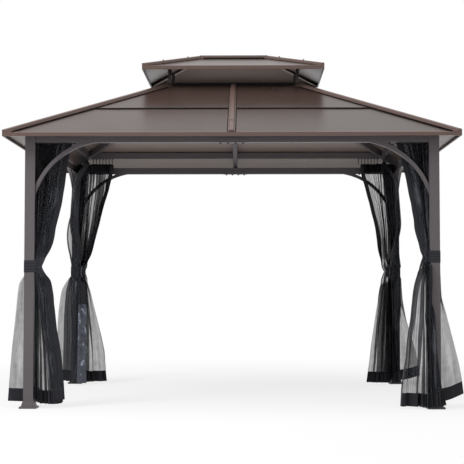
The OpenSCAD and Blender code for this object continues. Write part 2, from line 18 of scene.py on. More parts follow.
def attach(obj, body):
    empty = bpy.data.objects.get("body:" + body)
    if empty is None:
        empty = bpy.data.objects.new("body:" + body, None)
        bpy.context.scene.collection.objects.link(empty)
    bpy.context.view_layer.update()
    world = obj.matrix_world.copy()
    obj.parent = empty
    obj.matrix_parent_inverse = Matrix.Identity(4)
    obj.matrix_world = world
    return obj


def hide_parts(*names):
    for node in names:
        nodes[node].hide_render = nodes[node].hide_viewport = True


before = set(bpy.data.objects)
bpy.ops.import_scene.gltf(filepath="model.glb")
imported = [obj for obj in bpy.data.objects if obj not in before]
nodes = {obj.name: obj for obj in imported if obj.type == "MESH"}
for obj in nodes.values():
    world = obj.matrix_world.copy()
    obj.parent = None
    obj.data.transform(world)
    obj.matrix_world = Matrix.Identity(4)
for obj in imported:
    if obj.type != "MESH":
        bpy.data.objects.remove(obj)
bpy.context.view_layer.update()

# %% [markdown]
# ## The camera
# The photograph was taken from the front, a little right of the middle and at
# waist height, so the eye looks slightly up into the roof. A camera could be set
# by hand, but then every later comparison would fight it. These numbers were
# solved from the corners of the posts, beams and eaves.

# %% Camera
PICTURE = 464
FOCAL_PIXELS = 1217.42
EYE = Vector((0.1345, -10.997, 0.9209))
TURN_LEFT, LOOK_UP = 0.0137, 0.0491
SENSOR_MM, SIGHT_END = 36, 200

level = math.cos(LOOK_UP)
aim = Vector((-math.sin(TURN_LEFT) * level, math.cos(TURN_LEFT) * level, math.sin(LOOK_UP)))
camera = bpy.data.objects.new("camera", bpy.data.cameras.new("camera"))
camera.data.sensor_width = SENSOR_MM
camera.data.lens = FOCAL_PIXELS / PICTURE * SENSOR_MM
camera.data.clip_end = SIGHT_END
camera.matrix_world = Matrix.Translation(EYE) @ aim.to_track_quat("-Z", "Y").to_matrix().to_4x4()
bpy.context.scene.collection.objects.link(camera)
bpy.context.scene.camera = camera
print("lens", round(camera.data.lens, 2), "mm")

# %% [markdown]
# ## Helpers for materials
# Colours are written as sRGB hex values, as a paint chart gives them, and
# Blender works in linear light, so one function converts them. Another one
# adds a node, fills its settings and its sockets, and links a socket where it
# is handed the output of an earlier node. Every material below is built from
# these two, on an empty tree that a third one makes.

# %% Colour and node helpers
def linear(hex_colour):
    """sRGB hex to linear RGBA: small values are divided by 12.92, the rest follow a power of 2.4."""
    s = np.array([int(hex_colour[i:i + 2], 16) for i in (1, 3, 5)]) / 255
    return (*np.where(s <= 0.04045, s / 12.92, ((s + 0.055) / 1.055) ** 2.4).tolist(), 1.0)


def add(tree, kind, settings=(), sockets=()):
    """Adds one shader node; a socket that is given another node's output is linked to it."""
    node = tree.nodes.new("ShaderNode" + kind)
    for key, value in dict(settings).items():
        setattr(node, key, value)
    for key, value in dict(sockets).items():
        if isinstance(value, bpy.types.NodeSocket):
            tree.links.new(value, node.inputs[key])
        else:
            node.inputs[key].default_value = value
    return node


def new_tree(name):
    """An empty material and its node tree."""
    material = bpy.data.materials.new(name)
    material.use_nodes = True
    material.node_tree.nodes.clear()
    return material, material.node_tree


print("a middle grey is", linear("#808080"))

# %% [markdown]
# ## The studio
# The object stands on a pale floor in front of white. If more lamp light made
# that white, the paint would wash out, so the background is white only to rays
# that look at it: those from the camera, and those mirrored in paint. The light
# that falls on the object is a plain sky, a large soft lamp at the front left,
# a weak one at the right, and one overhead.

# %% White to look at, plain sky to light with
PURE_WHITE = (1, 1, 1, 1)
SKY_LIGHT = 0.33
scene = bpy.context.scene
scene.view_settings.view_transform = "Standard"


def seen_directly(tree):
    """1 for a ray from the camera or mirrored or passed by a surface, 0 for one that carries light."""
    path = add(tree, "LightPath")
    looks = add(tree, "Math", {"operation": "MAXIMUM"},
                {0: path.outputs["Is Camera Ray"], 1: path.outputs["Is Glossy Ray"]})
    return add(tree, "Math", {"operation": "MAXIMUM"},
               {0: looks.outputs[0], 1: path.outputs["Is Transmission Ray"]}).outputs[0]


world = bpy.data.worlds.new("white_studio")
world.use_nodes = True
world.node_tree.nodes.clear()
strength = add(world.node_tree, "MapRange", {}, {0: seen_directly(world.node_tree), 3: SKY_LIGHT, 4: 1.0})
sky = add(world.node_tree, "Background", {}, {"Strength": strength.outputs[0], "Color": PURE_WHITE})
add(world.node_tree, "OutputWorld", {}, {"Surface": sky.outputs[0]})
scene.world = world
print("sky light", SKY_LIGHT)

# %% Floor
FLOOR_HALF, FLOOR_DROP, FLOOR_GREY = 60.0, 0.001, 0.9
SHADOW_SHARE = 0.22  # of the floor's light that may fall into shadow
SHADOW_REACH = (2.6, 6.0)  # metres from the middle, over which that share fades out
floor_mesh = bpy.data.meshes.new("studio_floor")
corners = FLOOR_HALF * np.array([[-1, -1, 0], [1, -1, 0], [1, 1, 0], [-1, 1, 0]], float)
floor_mesh.from_pydata(corners.tolist(), [], [[0, 1, 2, 3]])
floor = bpy.data.objects.new("studio_floor", floor_mesh)
floor.location.z = -FLOOR_DROP
scene.collection.objects.link(floor)

floor_paint, tree = new_tree("matt_white_floor")
matt = add(tree, "BsdfDiffuse", {}, {"Color": (FLOOR_GREY, FLOOR_GREY, FLOOR_GREY, 1)})
white = add(tree, "Emission", {}, {"Color": PURE_WHITE, "Strength": 1.0})
away = add(tree, "VectorMath", {"operation": "LENGTH"}, {0: add(tree, "TexCoord").outputs["Object"]})
glow = add(tree, "MapRange", {}, {0: away.outputs["Value"], 1: SHADOW_REACH[0], 2: SHADOW_REACH[1],
                                  3: 1 - SHADOW_SHARE, 4: 1.0})
share = add(tree, "Math", {"operation": "MULTIPLY"}, {0: seen_directly(tree), 1: glow.outputs[0]})
mixed = add(tree, "MixShader", {}, {0: share.outputs[0], 1: matt.outputs[0], 2: white.outputs[0]})
add(tree, "OutputMaterial", {}, {"Surface": mixed.outputs[0]})
floor_mesh.materials.append(floor_paint)
print("floor", 2 * FLOOR_HALF, "m wide")

# %% [markdown]
# ## Lamps
# A sun would draw hard shadows that a studio doesn't have. Square area lamps are
# the softboxes of a studio: the larger and nearer they are, the softer the shadow.
# They are kept out of mirror images, or a bright square would show on the roof
# from some sides.

# %% Lamps
LAMPS_FACE = Vector((0.0, 0.0, 1.4))


def soft_lamp(name, place, size, power):
    """A square lamp at place that faces the middle of the object; the paint doesn't mirror its square."""
    lamp = bpy.data.objects.new(name, bpy.data.lights.new(name, "AREA"))
    lamp.data.size = size
    lamp.data.energy = power
    lamp.location = place
    lamp.rotation_mode = "QUATERNION"
    lamp.rotation_quaternion = (LAMPS_FACE - Vector(place)).to_track_quat("-Z", "Y")
    lamp.visible_glossy = False
    scene.collection.objects.link(lamp)


soft_lamp("front_left_softbox", place=(-5.3, -5.5, 6.7), size=3.0, power=485)
soft_lamp("front_right_softbox", place=(6.5, -7.0, 6.0), size=4.0, power=30)
soft_lamp("overhead_softbox", place=(0.0, -1.5, 9.0), size=6.0, power=375)

# %% [markdown]
# ## Powder coated steel
# Posts, beams, braces and the roof frame are steel tube with a brown powder
# coat. The powder melts into a skin with a faint orange peel, a soft sheen and
# slightly rounded, slightly rubbed edges. The waves of the peel are about 1 mm
# wide, which is far less than a pixel, so they are drawn 6 mm wide. A Bevel
# node rounds the edges for the light only, and where it turns the normal most
# the coat is drawn a little paler.

# %% Painted steel
MM = 0.001
PATCH_MM = 420  # width of the patches of tone
PEEL_DEPTH_MM, PEEL_STRENGTH = 0.3, 0.25
RUB_FROM, RUB_FULL = 0.98, 0.75  # cosine of the turn of the normal at an edge
# painted light: the heights of a normal over which the paler underside colour fades in
UNDERLIGHT_FROM, UNDERLIGHT_FULL = -0.1, -0.3  # height of a normal that looks down
GLOSS_LESS, GLOSS_MORE = 0.05, 0.07


def painted_steel(name, shade, light, dark, roughness, peel_mm, dent_mm, dent_depth, edge_mm, rub,
                  under=None):
    """Paint on steel: two close tones in large soft patches, an orange peel bump, wide shallow dents,
    edges rounded over edge_mm and worn paler there; under is painted light, a paler colour on faces
    that look down, for the light the floor throws up at them."""
    material, tree = new_tree(name)
    place = add(tree, "TexCoord").outputs["Object"]
    patch = add(tree, "TexNoise", {}, {"Vector": place, "Scale": 1 / (PATCH_MM * MM), "Detail": 3.0})
    tone = add(tree, "Mix", {"data_type": "RGBA"},
               {0: patch.outputs["Fac"], 6: linear(dark), 7: linear(light)})
    edge = add(tree, "Bevel", {"samples": 4}, {"Radius": edge_mm * MM})
    flat = add(tree, "NewGeometry").outputs["Normal"]
    turn = add(tree, "VectorMath", {"operation": "DOT_PRODUCT"}, {0: edge.outputs[0], 1: flat})
    worn = add(tree, "MapRange", {}, {0: turn.outputs["Value"], 1: RUB_FROM, 2: RUB_FULL, 3: 0.0, 4: rub})
    # painted light: faces that look down are drawn paler, for the light the white floor throws up at them
    if under:
        level = add(tree, "SeparateXYZ", {}, {0: flat}).outputs["Z"]
        below = add(tree, "MapRange", {}, {0: level, 1: UNDERLIGHT_FROM, 2: UNDERLIGHT_FULL}).outputs[0]
        tone = add(tree, "Mix", {"data_type": "RGBA"}, {0: below, 6: tone.outputs[2], 7: linear(under)})
    coat = add(tree, "Mix", {"data_type": "RGBA"},
               {0: worn.outputs[0], 6: tone.outputs[2], 7: linear(shade)})
    peel = add(tree, "TexNoise", {}, {"Vector": place, "Scale": 1 / (peel_mm * MM), "Detail": 1.0})
    dents = add(tree, "TexNoise", {}, {"Vector": place, "Scale": 1 / (dent_mm * MM), "Detail": 1.0})
    wave = add(tree, "Bump", {}, {"Strength": 1.0, "Distance": dent_depth * MM,
                                  "Height": dents.outputs["Fac"], "Normal": edge.outputs[0]})
    skin = add(tree, "Bump", {}, {"Strength": PEEL_STRENGTH, "Distance": PEEL_DEPTH_MM * MM,
                                  "Height": peel.outputs["Fac"], "Normal": wave.outputs[0]})
    gloss = add(tree, "MapRange", {}, {0: patch.outputs["Fac"], 3: roughness - GLOSS_LESS,
                                       4: roughness + GLOSS_MORE})
    paint = add(tree, "BsdfPrincipled", {}, {"Base Color": coat.outputs[2], "Roughness": gloss.outputs[0],
                                             "Normal": skin.outputs[0]})
    add(tree, "OutputMaterial", {}, {"Surface": paint.outputs[0]})
    return material


print("patches of tone are", PATCH_MM, "mm wide")

# %% Coats of the frame, the roof and its fasteners
# rubbed edge, light tone, dark tone, roughness, then in mm the width of the peel, the width and depth of
# the dents and the radius of an edge, and the share rubbed off
frame_coat = painted_steel("powder_coated_steel_tube", "#837d80", "#5d575a", "#534d50", 0.42, 6, 90, 0.15, 3,
                           0.5)
# the roof coat's paler under colour is painted light on faces that look down
roof_coat = painted_steel("painted_roof_sheet", "#77665e", "#3f302b", "#372a25", 0.28, 5, 650, 2.2, 1.5, 0.35,
                          under="#80716a")
trim_coat = painted_steel("painted_folded_trim", "#93857e", "#5f4b45", "#57443e", 0.34, 5, 300, 0.5, 2, 0.5)
# painted shade: a darker copy of the brown paint, for the short posts that stand in the shade of the upper
# tier
crown_shade_coat = painted_steel("crown_post_painted_shade", "#5f504a", "#33282a", "#2b2122", 0.4, 5, 300, 0.3, 2, 0.3)
screw_coat = painted_steel("painted_screw_head", "#a2958e", "#6a5a53", "#5f504a", 0.3, 4, 60, 0.05, 0.6, 0.6)
bolt_steel = painted_steel("blackened_steel_bolt", "#6b6a6b", "#2e2c2d", "#262425", 0.4, 4, 60, 0.05, 0.6,
                           0.6)
print("paints:", frame_coat.name, roof_coat.name, trim_coat.name, screw_coat.name, bolt_steel.name)

# %% [markdown]
# ## Which part gets which coat
# The CAD parts keep their shape and get a finish by name. Sheets take the roof
# coat, folded caps and trims are a lighter brown, and the frame is greyer. Nets,
# ties and hooks are passed over, because new pieces stand for them below.

# %% Paint the CAD parts
def coat_parts(names, material):
    """Gives CAD parts one material in place of what they came with."""
    for name in names:
        nodes[name].data.materials.clear()
        nodes[name].data.materials.append(material)


ROOF_NODES = [n for n in nodes if n.endswith(("_sheets", "_sheet"))]
TRIM_NODES = ["hip_caps", "slope_battens", "eave_trims", "upper_hip_caps", "ridge_cap", "upper_eave_trims"]
SOFT_NODES = [n for n in nodes if "_net_" in n and not n.endswith("_rail")] + ["net_ties", "net_hooks"]
CROWN_NODES = ["upper_hip_rafters", "ridge_beam"]
OTHER_NODES = ROOF_NODES + TRIM_NODES + SOFT_NODES + CROWN_NODES + ["crown_bars", "short_posts"]
FRAME_NODES = [n for n in nodes if n not in OTHER_NODES]
coat_parts(ROOF_NODES + CROWN_NODES, roof_coat)
coat_parts(TRIM_NODES, trim_coat)
coat_parts(FRAME_NODES, frame_coat)
# the short posts take the painted shade coat
coat_parts(["short_posts"], crown_shade_coat)
print(len(FRAME_NODES), "frame parts,", len(ROOF_NODES), "roof parts,", len(TRIM_NODES), "trims,", SOFT_NODES)

# %% [markdown]
# ## Black for painted shade, and nylon
# The strips along laps, battens and caps and the crown bars take a dull black
# that is painted shade, for the shadow in those gaps and under the upper tier; it
# looks like extruded rubber. The net hooks are moulded nylon, black too but
# smoother. Both are nearly plain, so a fine grain, drawn 4 mm wide to show at
# all, varies the tone and the roughness.

# %% Black finishes with a fine grain
GRAIN_MM, GRAIN_DEPTH_MM, GRAIN_STRENGTH, GRAIN_GLOSS = 4, 0.2, 0.3, 0.08


def grained_black(name, light, dark, roughness, specular):
    """Two close blacks in a fine grain that also lifts the surface a little."""
    material, tree = new_tree(name)
    place = add(tree, "TexCoord").outputs["Object"]
    grain = add(tree, "TexNoise", {}, {"Vector": place, "Scale": 1 / (GRAIN_MM * MM),
                                       "Detail": 2.0}).outputs["Fac"]
    tone = add(tree, "Mix", {"data_type": "RGBA"}, {0: grain, 6: linear(dark), 7: linear(light)})
    gloss = add(tree, "MapRange", {}, {0: grain, 3: roughness - GRAIN_GLOSS, 4: roughness + GRAIN_GLOSS})
    skin = add(tree, "Bump", {}, {"Strength": GRAIN_STRENGTH, "Distance": GRAIN_DEPTH_MM * MM,
                                  "Height": grain})
    body = add(tree, "BsdfPrincipled", {}, {"Base Color": tone.outputs[2], "Roughness": gloss.outputs[0],
                                            "Specular IOR Level": specular, "Normal": skin.outputs[0]})
    add(tree, "OutputMaterial", {}, {"Surface": body.outputs[0]})
    return material


shadow_black = grained_black("painted_shadow_black", "#1d1c1c", "#121111", 0.75, 0.15)
nylon = grained_black("moulded_black_nylon", "#2a2a2c", "#1c1c1e", 0.45, 0.5)
# painted shade: the steel crown bars take the dull black, for the shade that lies on them under the upper
# tier
coat_parts(["crown_bars"], shadow_black)
print("black finishes:", shadow_black.name, nylon.name)

# %% [markdown]
# ## Insect netting, tape, satin and webbing
# The net is a knitted polyester mesh, black, with holes of about 1.3 mm. A pixel
# of the picture is 8 mm wide, so the threads are drawn every 9 mm and what shows
# is their share of the surface: one layer hides about two thirds of what is behind
# it, and four layers look black. The edges are bound with a dense matt tape, one
# net has a crumpled satin placket, and the ties are ribbed webbing. All of them
# read a UV map in metres on the flat cut, so the threads follow the cloth into its
# folds. Their tone also carries painted highlights, long light streaks where the
# crests of pleats and crumples would catch the light.

# %% Woven cloth
WAVE_TURN = 20 / (2 * math.pi)  # bands in one unit of a wave texture of scale 1
CLOUD_MM, RELIEF_STRENGTH = 60, 0.4
# painted highlight: where the pleat noise passes these heights, the cloth's tone turns to its light colour
HIGHLIGHT_FROM, HIGHLIGHT_FULL = 0.55, 0.64  # heights of the pleats that catch the light
NOISE_LOW, NOISE_HIGH = 0.3, 0.7  # most of a noise lies between these
CLOUD_COVER, PLEAT_COVER = 0.04, 0.13  # how much each of them thins or thickens a net


def woven(name, light, dark, pitch_mm, relief_mm, roughness, specular, holes=None, weft=1.0, warp=1.0,
          streak=0.75, crease_mm=0.0, pleat_mm=70, run=0.09):
    """Threads in two directions, the nearer one on top, in pleats that run down the cloth; streak is the
    share of the tone that is painted highlight on the crests of the pleats; holes gives the least and
    most cover of a net, and the pleats thin it in long streaks."""
    material, tree = new_tree(name)
    cut = add(tree, "UVMap", {"uv_map": "cut"}).outputs[0]
    sets = []
    for direction, weight in (("X", warp), ("Y", weft)):
        bands = add(tree, "TexWave", {"wave_type": "BANDS", "bands_direction": direction},
                    {"Vector": cut, "Scale": 1 / (pitch_mm * MM) / WAVE_TURN})
        weighed = add(tree, "Math", {"operation": "MULTIPLY"}, {0: bands.outputs["Fac"], 1: weight})
        sets.append(weighed.outputs[0])
    threads = add(tree, "Math", {"operation": "MAXIMUM"}, {0: sets[0], 1: sets[1]}).outputs[0]
    cloud = add(tree, "TexNoise", {}, {"Vector": cut, "Scale": 1 / (CLOUD_MM * MM),
                                       "Detail": 3.0}).outputs["Fac"]
    long = add(tree, "Mapping", {}, {"Vector": cut, "Scale": (1.0, run, 1.0)}).outputs[0]
    pleat = add(tree, "TexNoise", {}, {"Vector": long, "Scale": 1 / (pleat_mm * MM), "Detail": 4.0,
                                       "Roughness": 0.65}).outputs["Fac"]
    # painted highlight: light streaks along the crests of the pleats
    crest_highlight = add(tree, "MapRange", {}, {0: pleat, 1: HIGHLIGHT_FROM, 2: HIGHLIGHT_FULL}).outputs[0]
    blend = add(tree, "Mix", {}, {0: streak, 2: threads, 3: crest_highlight}).outputs[0]
    tone = add(tree, "Mix", {"data_type": "RGBA"}, {0: blend, 6: linear(dark), 7: linear(light)})
    crease = add(tree, "Bump", {}, {"Strength": 1.0, "Distance": crease_mm * MM, "Height": cloud})
    relief = add(tree, "Bump", {}, {"Strength": RELIEF_STRENGTH, "Distance": relief_mm * MM,
                                    "Height": threads, "Normal": crease.outputs[0]})
    cloth = add(tree, "BsdfPrincipled", {}, {"Base Color": tone.outputs[2], "Roughness": roughness,
                                             "Specular IOR Level": specular, "Normal": relief.outputs[0]})
    if holes:
        cover = add(tree, "MapRange", {}, {0: threads, 3: holes[0], 4: holes[1]}).outputs[0]
        for noise, least, most in ((cloud, -CLOUD_COVER, CLOUD_COVER), (pleat, PLEAT_COVER, -PLEAT_COVER)):
            more = add(tree, "MapRange", {}, {0: noise, 1: NOISE_LOW, 2: NOISE_HIGH, 3: least, 4: most})
            cover = add(tree, "Math", {"operation": "ADD"}, {0: cover, 1: more.outputs[0]}).outputs[0]
        tree.links.new(cover, cloth.inputs["Alpha"])
    add(tree, "OutputMaterial", {}, {"Surface": cloth.outputs[0]})
    return material


print("clouds in the cloth are", CLOUD_MM, "mm wide")

# %% Four cloths
# light tone, which the painted highlights take, dark tone, pitch and relief of the threads in mm,
# roughness, specular level
netting = woven("knitted_polyester_net", "#75777f", "#15161a", 9, 0.3, 0.7, 0.15, (0.56, 0.72), weft=0.35)
tape = woven("polyester_binding_tape", "#3c3e44", "#1c1c20", 7, 0.3, 0.6, 0.2)
satin = woven("satin_placket", "#959cad", "#2b2e37", 7, 0.2, 0.36, 0.5, streak=0.85, crease_mm=40,
              pleat_mm=38, run=0.45)
webbing = woven("ribbed_webbing", "#3a3b40", "#232327", 23, 1.5, 0.65, 0.2, warp=0.0, streak=0.25)
print("cloths:", netting.name, tape.name, satin.name, webbing.name)

# %% [markdown]
# ## From an array to a piece
# Each new piece is a grid of points worked out with numpy. One function turns a
# grid into quads, another makes the object and ties it to the frame. Pieces are
# never moved as objects: their place is in their points, as with the CAD parts.

# %% Quads of a grid
def grid_quads(rows, cols, round_rows=False, round_cols=False):
    """Corner numbers of the quads of a grid; a round direction joins its last line to its first."""
    index = np.arange(rows * cols).reshape(rows, cols)
    if round_rows:
        index = np.concatenate([index, index[:1]], axis=0)
    if round_cols:
        index = np.concatenate([index, index[:, :1]], axis=1)
    corners = [index[:-1, :-1], index[1:, :-1], index[1:, 1:], index[:-1, 1:]]
    return np.stack(corners, axis=-1).reshape(-1, 4)


print("a 3 by 3 grid has", len(grid_quads(3, 3)), "quads")

# %% A piece from a grid
def make_piece(name, points, quads, material, cut=None):
    """A smooth mesh piece from points and quads that rides on the frame; cut is its flat pattern in m."""
    used, quads = np.unique(quads, return_inverse=True)
    quads = quads.reshape(-1, 4)
    points = points.reshape(-1, 3)[used]
    mesh = bpy.data.meshes.new(name)
    mesh.vertices.add(len(points))
    mesh.vertices.foreach_set("co", points.astype(np.float32).ravel())
    mesh.loops.add(quads.size)
    mesh.loops.foreach_set("vertex_index", quads.astype(np.int32).ravel())
    mesh.polygons.add(len(quads))
    mesh.polygons.foreach_set("loop_start", np.arange(0, quads.size, 4, dtype=np.int32))
    mesh.polygons.foreach_set("use_smooth", np.ones(len(quads), bool))
    mesh.update(calc_edges=True)
    if cut is not None:
        layer = mesh.uv_layers.new(name="cut")
        layer.data.foreach_set("uv", cut.reshape(-1, 2)[used][quads.ravel()].astype(np.float32).ravel())
    mesh.materials.append(material)
    piece = bpy.data.objects.new(name, mesh)
    scene.collection.objects.link(piece)
    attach(piece, "root")
    return piece


# %% [markdown]
# ## How a tied net hangs
# Each side of the gazebo has two nets. Undone, a net is half a side wide and as
# high as the opening. Here each hangs in folds from its rail, is pulled to its
# post by a tie, and spreads again below it. A cloth simulation could find some
# tied shape, but not the one in the photograph, so the shape is written down:
# three lines in plan, at the header, at the tie and at the hem, and a curve that
# says how fast the net goes from one to the next. What makes it cloth is the
# last step: every row of the net is folded until it is as long as the cut is
# wide, because cloth doesn't stretch.

# %% Sizes of a net and its header
POST_MID = np.array([1.610, 1.305])  # middle of a post from the middle of the plan
NET_TOP, TIE_HIGH = 2.2025, 0.094
TIE_LOW, TIE_LOW_FRONT_RIGHT = 1.074, 1.150
CUT_LONG, CUT_SHORT, CUT_DROP = 1.65, 1.345, 2.16
HEADER_TAPE, HEM_TAPE, EDGE_TAPE = 0.090, 0.105, 0.042
RAIL_IN, HOOK_FIRST, HOOK_STEP = 0.135, 0.1855, 0.0315
POST_CLEAR, KNEE, REACH = 0.044, RAIL_IN + 0.024, 0.385
DIAGONAL = (KNEE - POST_CLEAR) * math.sqrt(2)
HEADER_LONG = DIAGONAL + REACH - KNEE
FIRST_FOLD, FOLDS = (HEADER_LONG - REACH + HOOK_FIRST) / HEADER_LONG, HEADER_LONG / HOOK_STEP


def header_line(t, reach):
    """From the inner corner of the post at 45 degrees to the rail, then along it, at an even pace."""
    run = t * (DIAGONAL + reach - KNEE)
    a = np.where(run < DIAGONAL, POST_CLEAR + run / math.sqrt(2), KNEE + run - DIAGONAL)
    return np.stack([a, RAIL_IN + np.minimum(a - KNEE, 0)], axis=-1)


print("the first hook is", round(FIRST_FOLD, 3), "along the header, which has", round(FOLDS, 2), "folds")

# %% [markdown]
# ## Rows from the header to the hem
# Three shares say where a row of the net is. Fall goes from 0 at the header to 1
# at the tie, strap from 0 to 1 behind the tie, and drop from 0 at the tie to 1 at
# the hem. The tapes at the header and the hem have rows of their own, so that
# their edges are straight.

# %% Rows of a net
ROWS_ABOVE, ROWS_TIED, ROWS_BELOW, HEADER_ROWS, HEM_ROWS = 42, 5, 46, 4, 5
HEM_CLEAR = 0.03


def net_rows(low):
    """Fall, strap and drop of every row, at even steps inside each of the five stretches."""
    header, hem = HEADER_TAPE / (NET_TOP - low - TIE_HIGH), 1 - HEM_TAPE / (low - HEM_CLEAR)
    above = np.concatenate([np.linspace(0, header, HEADER_ROWS + 1)[:-1], np.linspace(header, 1, ROWS_ABOVE)])
    tied = np.linspace(0, 1, ROWS_TIED + 2)[1:-1]
    below = np.concatenate([np.linspace(0, hem, ROWS_BELOW)[1:], np.linspace(hem, 1, HEM_ROWS + 1)[1:]])
    fall = np.concatenate([above, np.ones(ROWS_TIED + len(below))])
    strap = np.concatenate([np.zeros(len(above)), tied, np.ones(len(below))])
    return fall, strap, np.concatenate([np.zeros(len(above) + ROWS_TIED), below])


print("a net has", len(net_rows(TIE_LOW)[0]), "rows")

# %% Smooth curves
CURVE_STEPS = 400


def rounded(knots, values, x, width=0.05):
    """Straight lines through the given points, their corners rounded by a moving average of that width."""
    fine = np.linspace(0, 1, CURVE_STEPS + 1)
    line = np.interp(fine, knots, values)
    half = max(1, int(width * CURVE_STEPS))
    padded = np.concatenate([2 * line[0] - line[half:0:-1], line, 2 * line[-1] - line[-2:-half - 2:-1]])
    window = np.hanning(2 * half + 3)[1:-1]
    return np.interp(x, fine, np.convolve(padded, window / window.sum(), "valid"))


def step(x, low, high):
    """0 below low, 1 above high, and a smooth S between them."""
    s = np.clip((x - low) / (high - low), 0, 1)
    return s * s * (3 - 2 * s)


print("a corner from 0 to 1 and back is rounded to", rounded([0, 0.5, 1], [0, 1, 0], 0.5).round(3))

# %% [markdown]
# ## The lines of the rows in plan
# Between the header and the tie a row is a blend of the header's line and the
# waist's, and below the tie of the waist's and the hem's. The two edges of the
# net spread at their own pace.

# %% Lines in plan
TABLE_ROUND, EDGE_EASE = 0.03, (0.1, 0.6)


def plan_lines(plan, t, fall, drop):
    """Lines (rows, cols, 2), header to waist by the share close and waist to hem by the share spread."""
    waist, hem = (np.stack([rounded(table[:, 0], table[:, k] * MM, t, TABLE_ROUND) for k in (1, 2)], axis=-1)
                  for table in (np.array(plan[key], float) for key in ("waist", "hem")))
    close = rounded(*plan["close"], fall)[:, None]
    near, far = (rounded(*plan[key], drop)[:, None] for key in ("open_near", "open_far"))
    ease = step(t, *EDGE_EASE)[None]
    spread = np.clip(near * (1 - ease) + far * ease, 0, 1)
    lead = np.stack([spread, spread ** plan.get("lead", 1.0)], axis=-1)
    header = header_line(t, plan.get("reach", REACH))
    line = header[None] * (1 - close[..., None]) + waist[None] * close[..., None]
    return line + (hem - waist)[None] * lead, close, spread


print("the header is", round(HEADER_LONG, 3), "m long in plan")

# %% [markdown]
# ## Loose cloth
# Real cloth isn't drawn as evenly as those lines, so the rows are moved a little:
# they drift along, the free edge shifts, a side net sways outwards, and one
# bulges over its post. All of it fades out at the header and at the tie.

# %% Loose cloth
DRIFT, DRIFT_WAVES, ANY_ANGLE = 0.016, (2, 3, 4, 5), (0, 6.28)
TAPE_PART, EDGE_DRAW = 0.085, EDGE_TAPE - 0.012
SWAY_ON, SWAY_OFF, SWAY_FROM, SWAY_BACK, SWAY_LESS = (0.0, 0.2), (0.55, 1.0), (0.35, 0.8), (0.88, 1), 0.35
BULGE_FROM, BULGE_LONG, BULGE_EDGE = 0.33, 0.65, (0.02, 0.12)


def looseness(fall, drop):
    """0 at the tie and 1 from a quarter of the way to the header or the hem."""
    return np.clip(np.maximum((1 - fall) * 4, drop * 4), 0, 1)


def loosen(line, plan, t, fall, strap, drop, draw):
    """Adds to the lines: slow waves of chance height and place, and the plan's own shifts by height."""
    above = (drop == 0) * (strap == 0)
    belly = np.sin(np.pi * np.clip(fall, 0, 1)) * above
    waves = sum(draw.uniform(0.3, 1) * np.sin(2 * np.pi * k * t + draw.uniform(*ANY_ANGLE)) / k
                for k in DRIFT_WAVES)
    line[..., 0] += DRIFT * belly[:, None] * waves[None] * np.sin(np.pi * t)[None]
    start, shift = plan.get("edge", (0.93, -0.02))
    below_tape = np.clip((fall - TAPE_PART) / (1 - TAPE_PART), 0, 1)
    line[..., 0] += shift * (np.sin(np.pi * below_tape) * (belly > 0))[:, None] * step(t, start, 1.0)[None]
    pulled = step(fall, *SWAY_ON) * (1 - step(fall, *SWAY_OFF)) * (strap == 0)
    swayed = step(t, *SWAY_FROM) - SWAY_LESS * step(t, *SWAY_BACK)
    line[..., 1] -= plan.get("sway", 0.0) * pulled[:, None] * swayed[None]
    line[..., 0] -= EDGE_DRAW * looseness(fall, drop)[:, None] * t[None] ** 4
    out = np.sin(np.pi * np.clip((fall - BULGE_FROM) / BULGE_LONG, 0, 1)) * above
    line[..., 1] -= plan.get("bulge", 0.0) * out[:, None] * (1 - step(t, *BULGE_EDGE))[None]


print("loose cloth drifts by up to about", DRIFT, "m along its row")

# %% [markdown]
# ## The folds of a row
# A row of the net follows its line in plan and swings to and fro across it. Near
# the header there is one fold to each hook, near the hem there are a few wide
# ones, and between them the two are mixed. A fold that leans along its row
# overlaps its neighbour, so several layers lie behind each other, which is why a
# gathered net looks black.

# %% Wave of the folds
WOBBLES, FINE_PUSH, WIDE_PUSH = ((0.25, 2.3), (0.15, 5.1)), 2.2, 1.5
FINE_LEAST, WIDE_HEM, WIDE_BELLY = 0.2, 0.9, 0.45


def fold_wave(plan, t, fall, drop, draw):
    """One sine turn to a hook and one to a wide fold, both pushed along by a slow wobble, mixed by height."""
    wobble = sum(high * np.sin(2 * np.pi * (turns * t + draw.uniform())) for high, turns in WOBBLES)
    fine = np.sin(2 * np.pi * FOLDS * (t - FIRST_FOLD)[None] + FINE_PUSH * wobble[None] * fall[:, None])
    start = draw.uniform(*ANY_ANGLE)
    wide = np.sin(2 * np.pi * plan["wide_folds"] * t[None] + start + WIDE_PUSH * wobble[None])
    share = (1 - drop) ** 1.5
    belly = WIDE_BELLY * np.sin(np.pi * np.clip(fall, 0, 1)) * (drop == 0)
    mixed = (FINE_LEAST + (1 - FINE_LEAST) * share)[:, None] * fine
    return mixed + (WIDE_HEM * (1 - share) + belly)[:, None] * wide


print("at the hem the hook folds keep a share of", FINE_LEAST)

# %% Direction and fullness of the folds
FULL_EDGE, FLAT_EDGE, TINY = 0.55, (0.08, 0.2), 1e-9


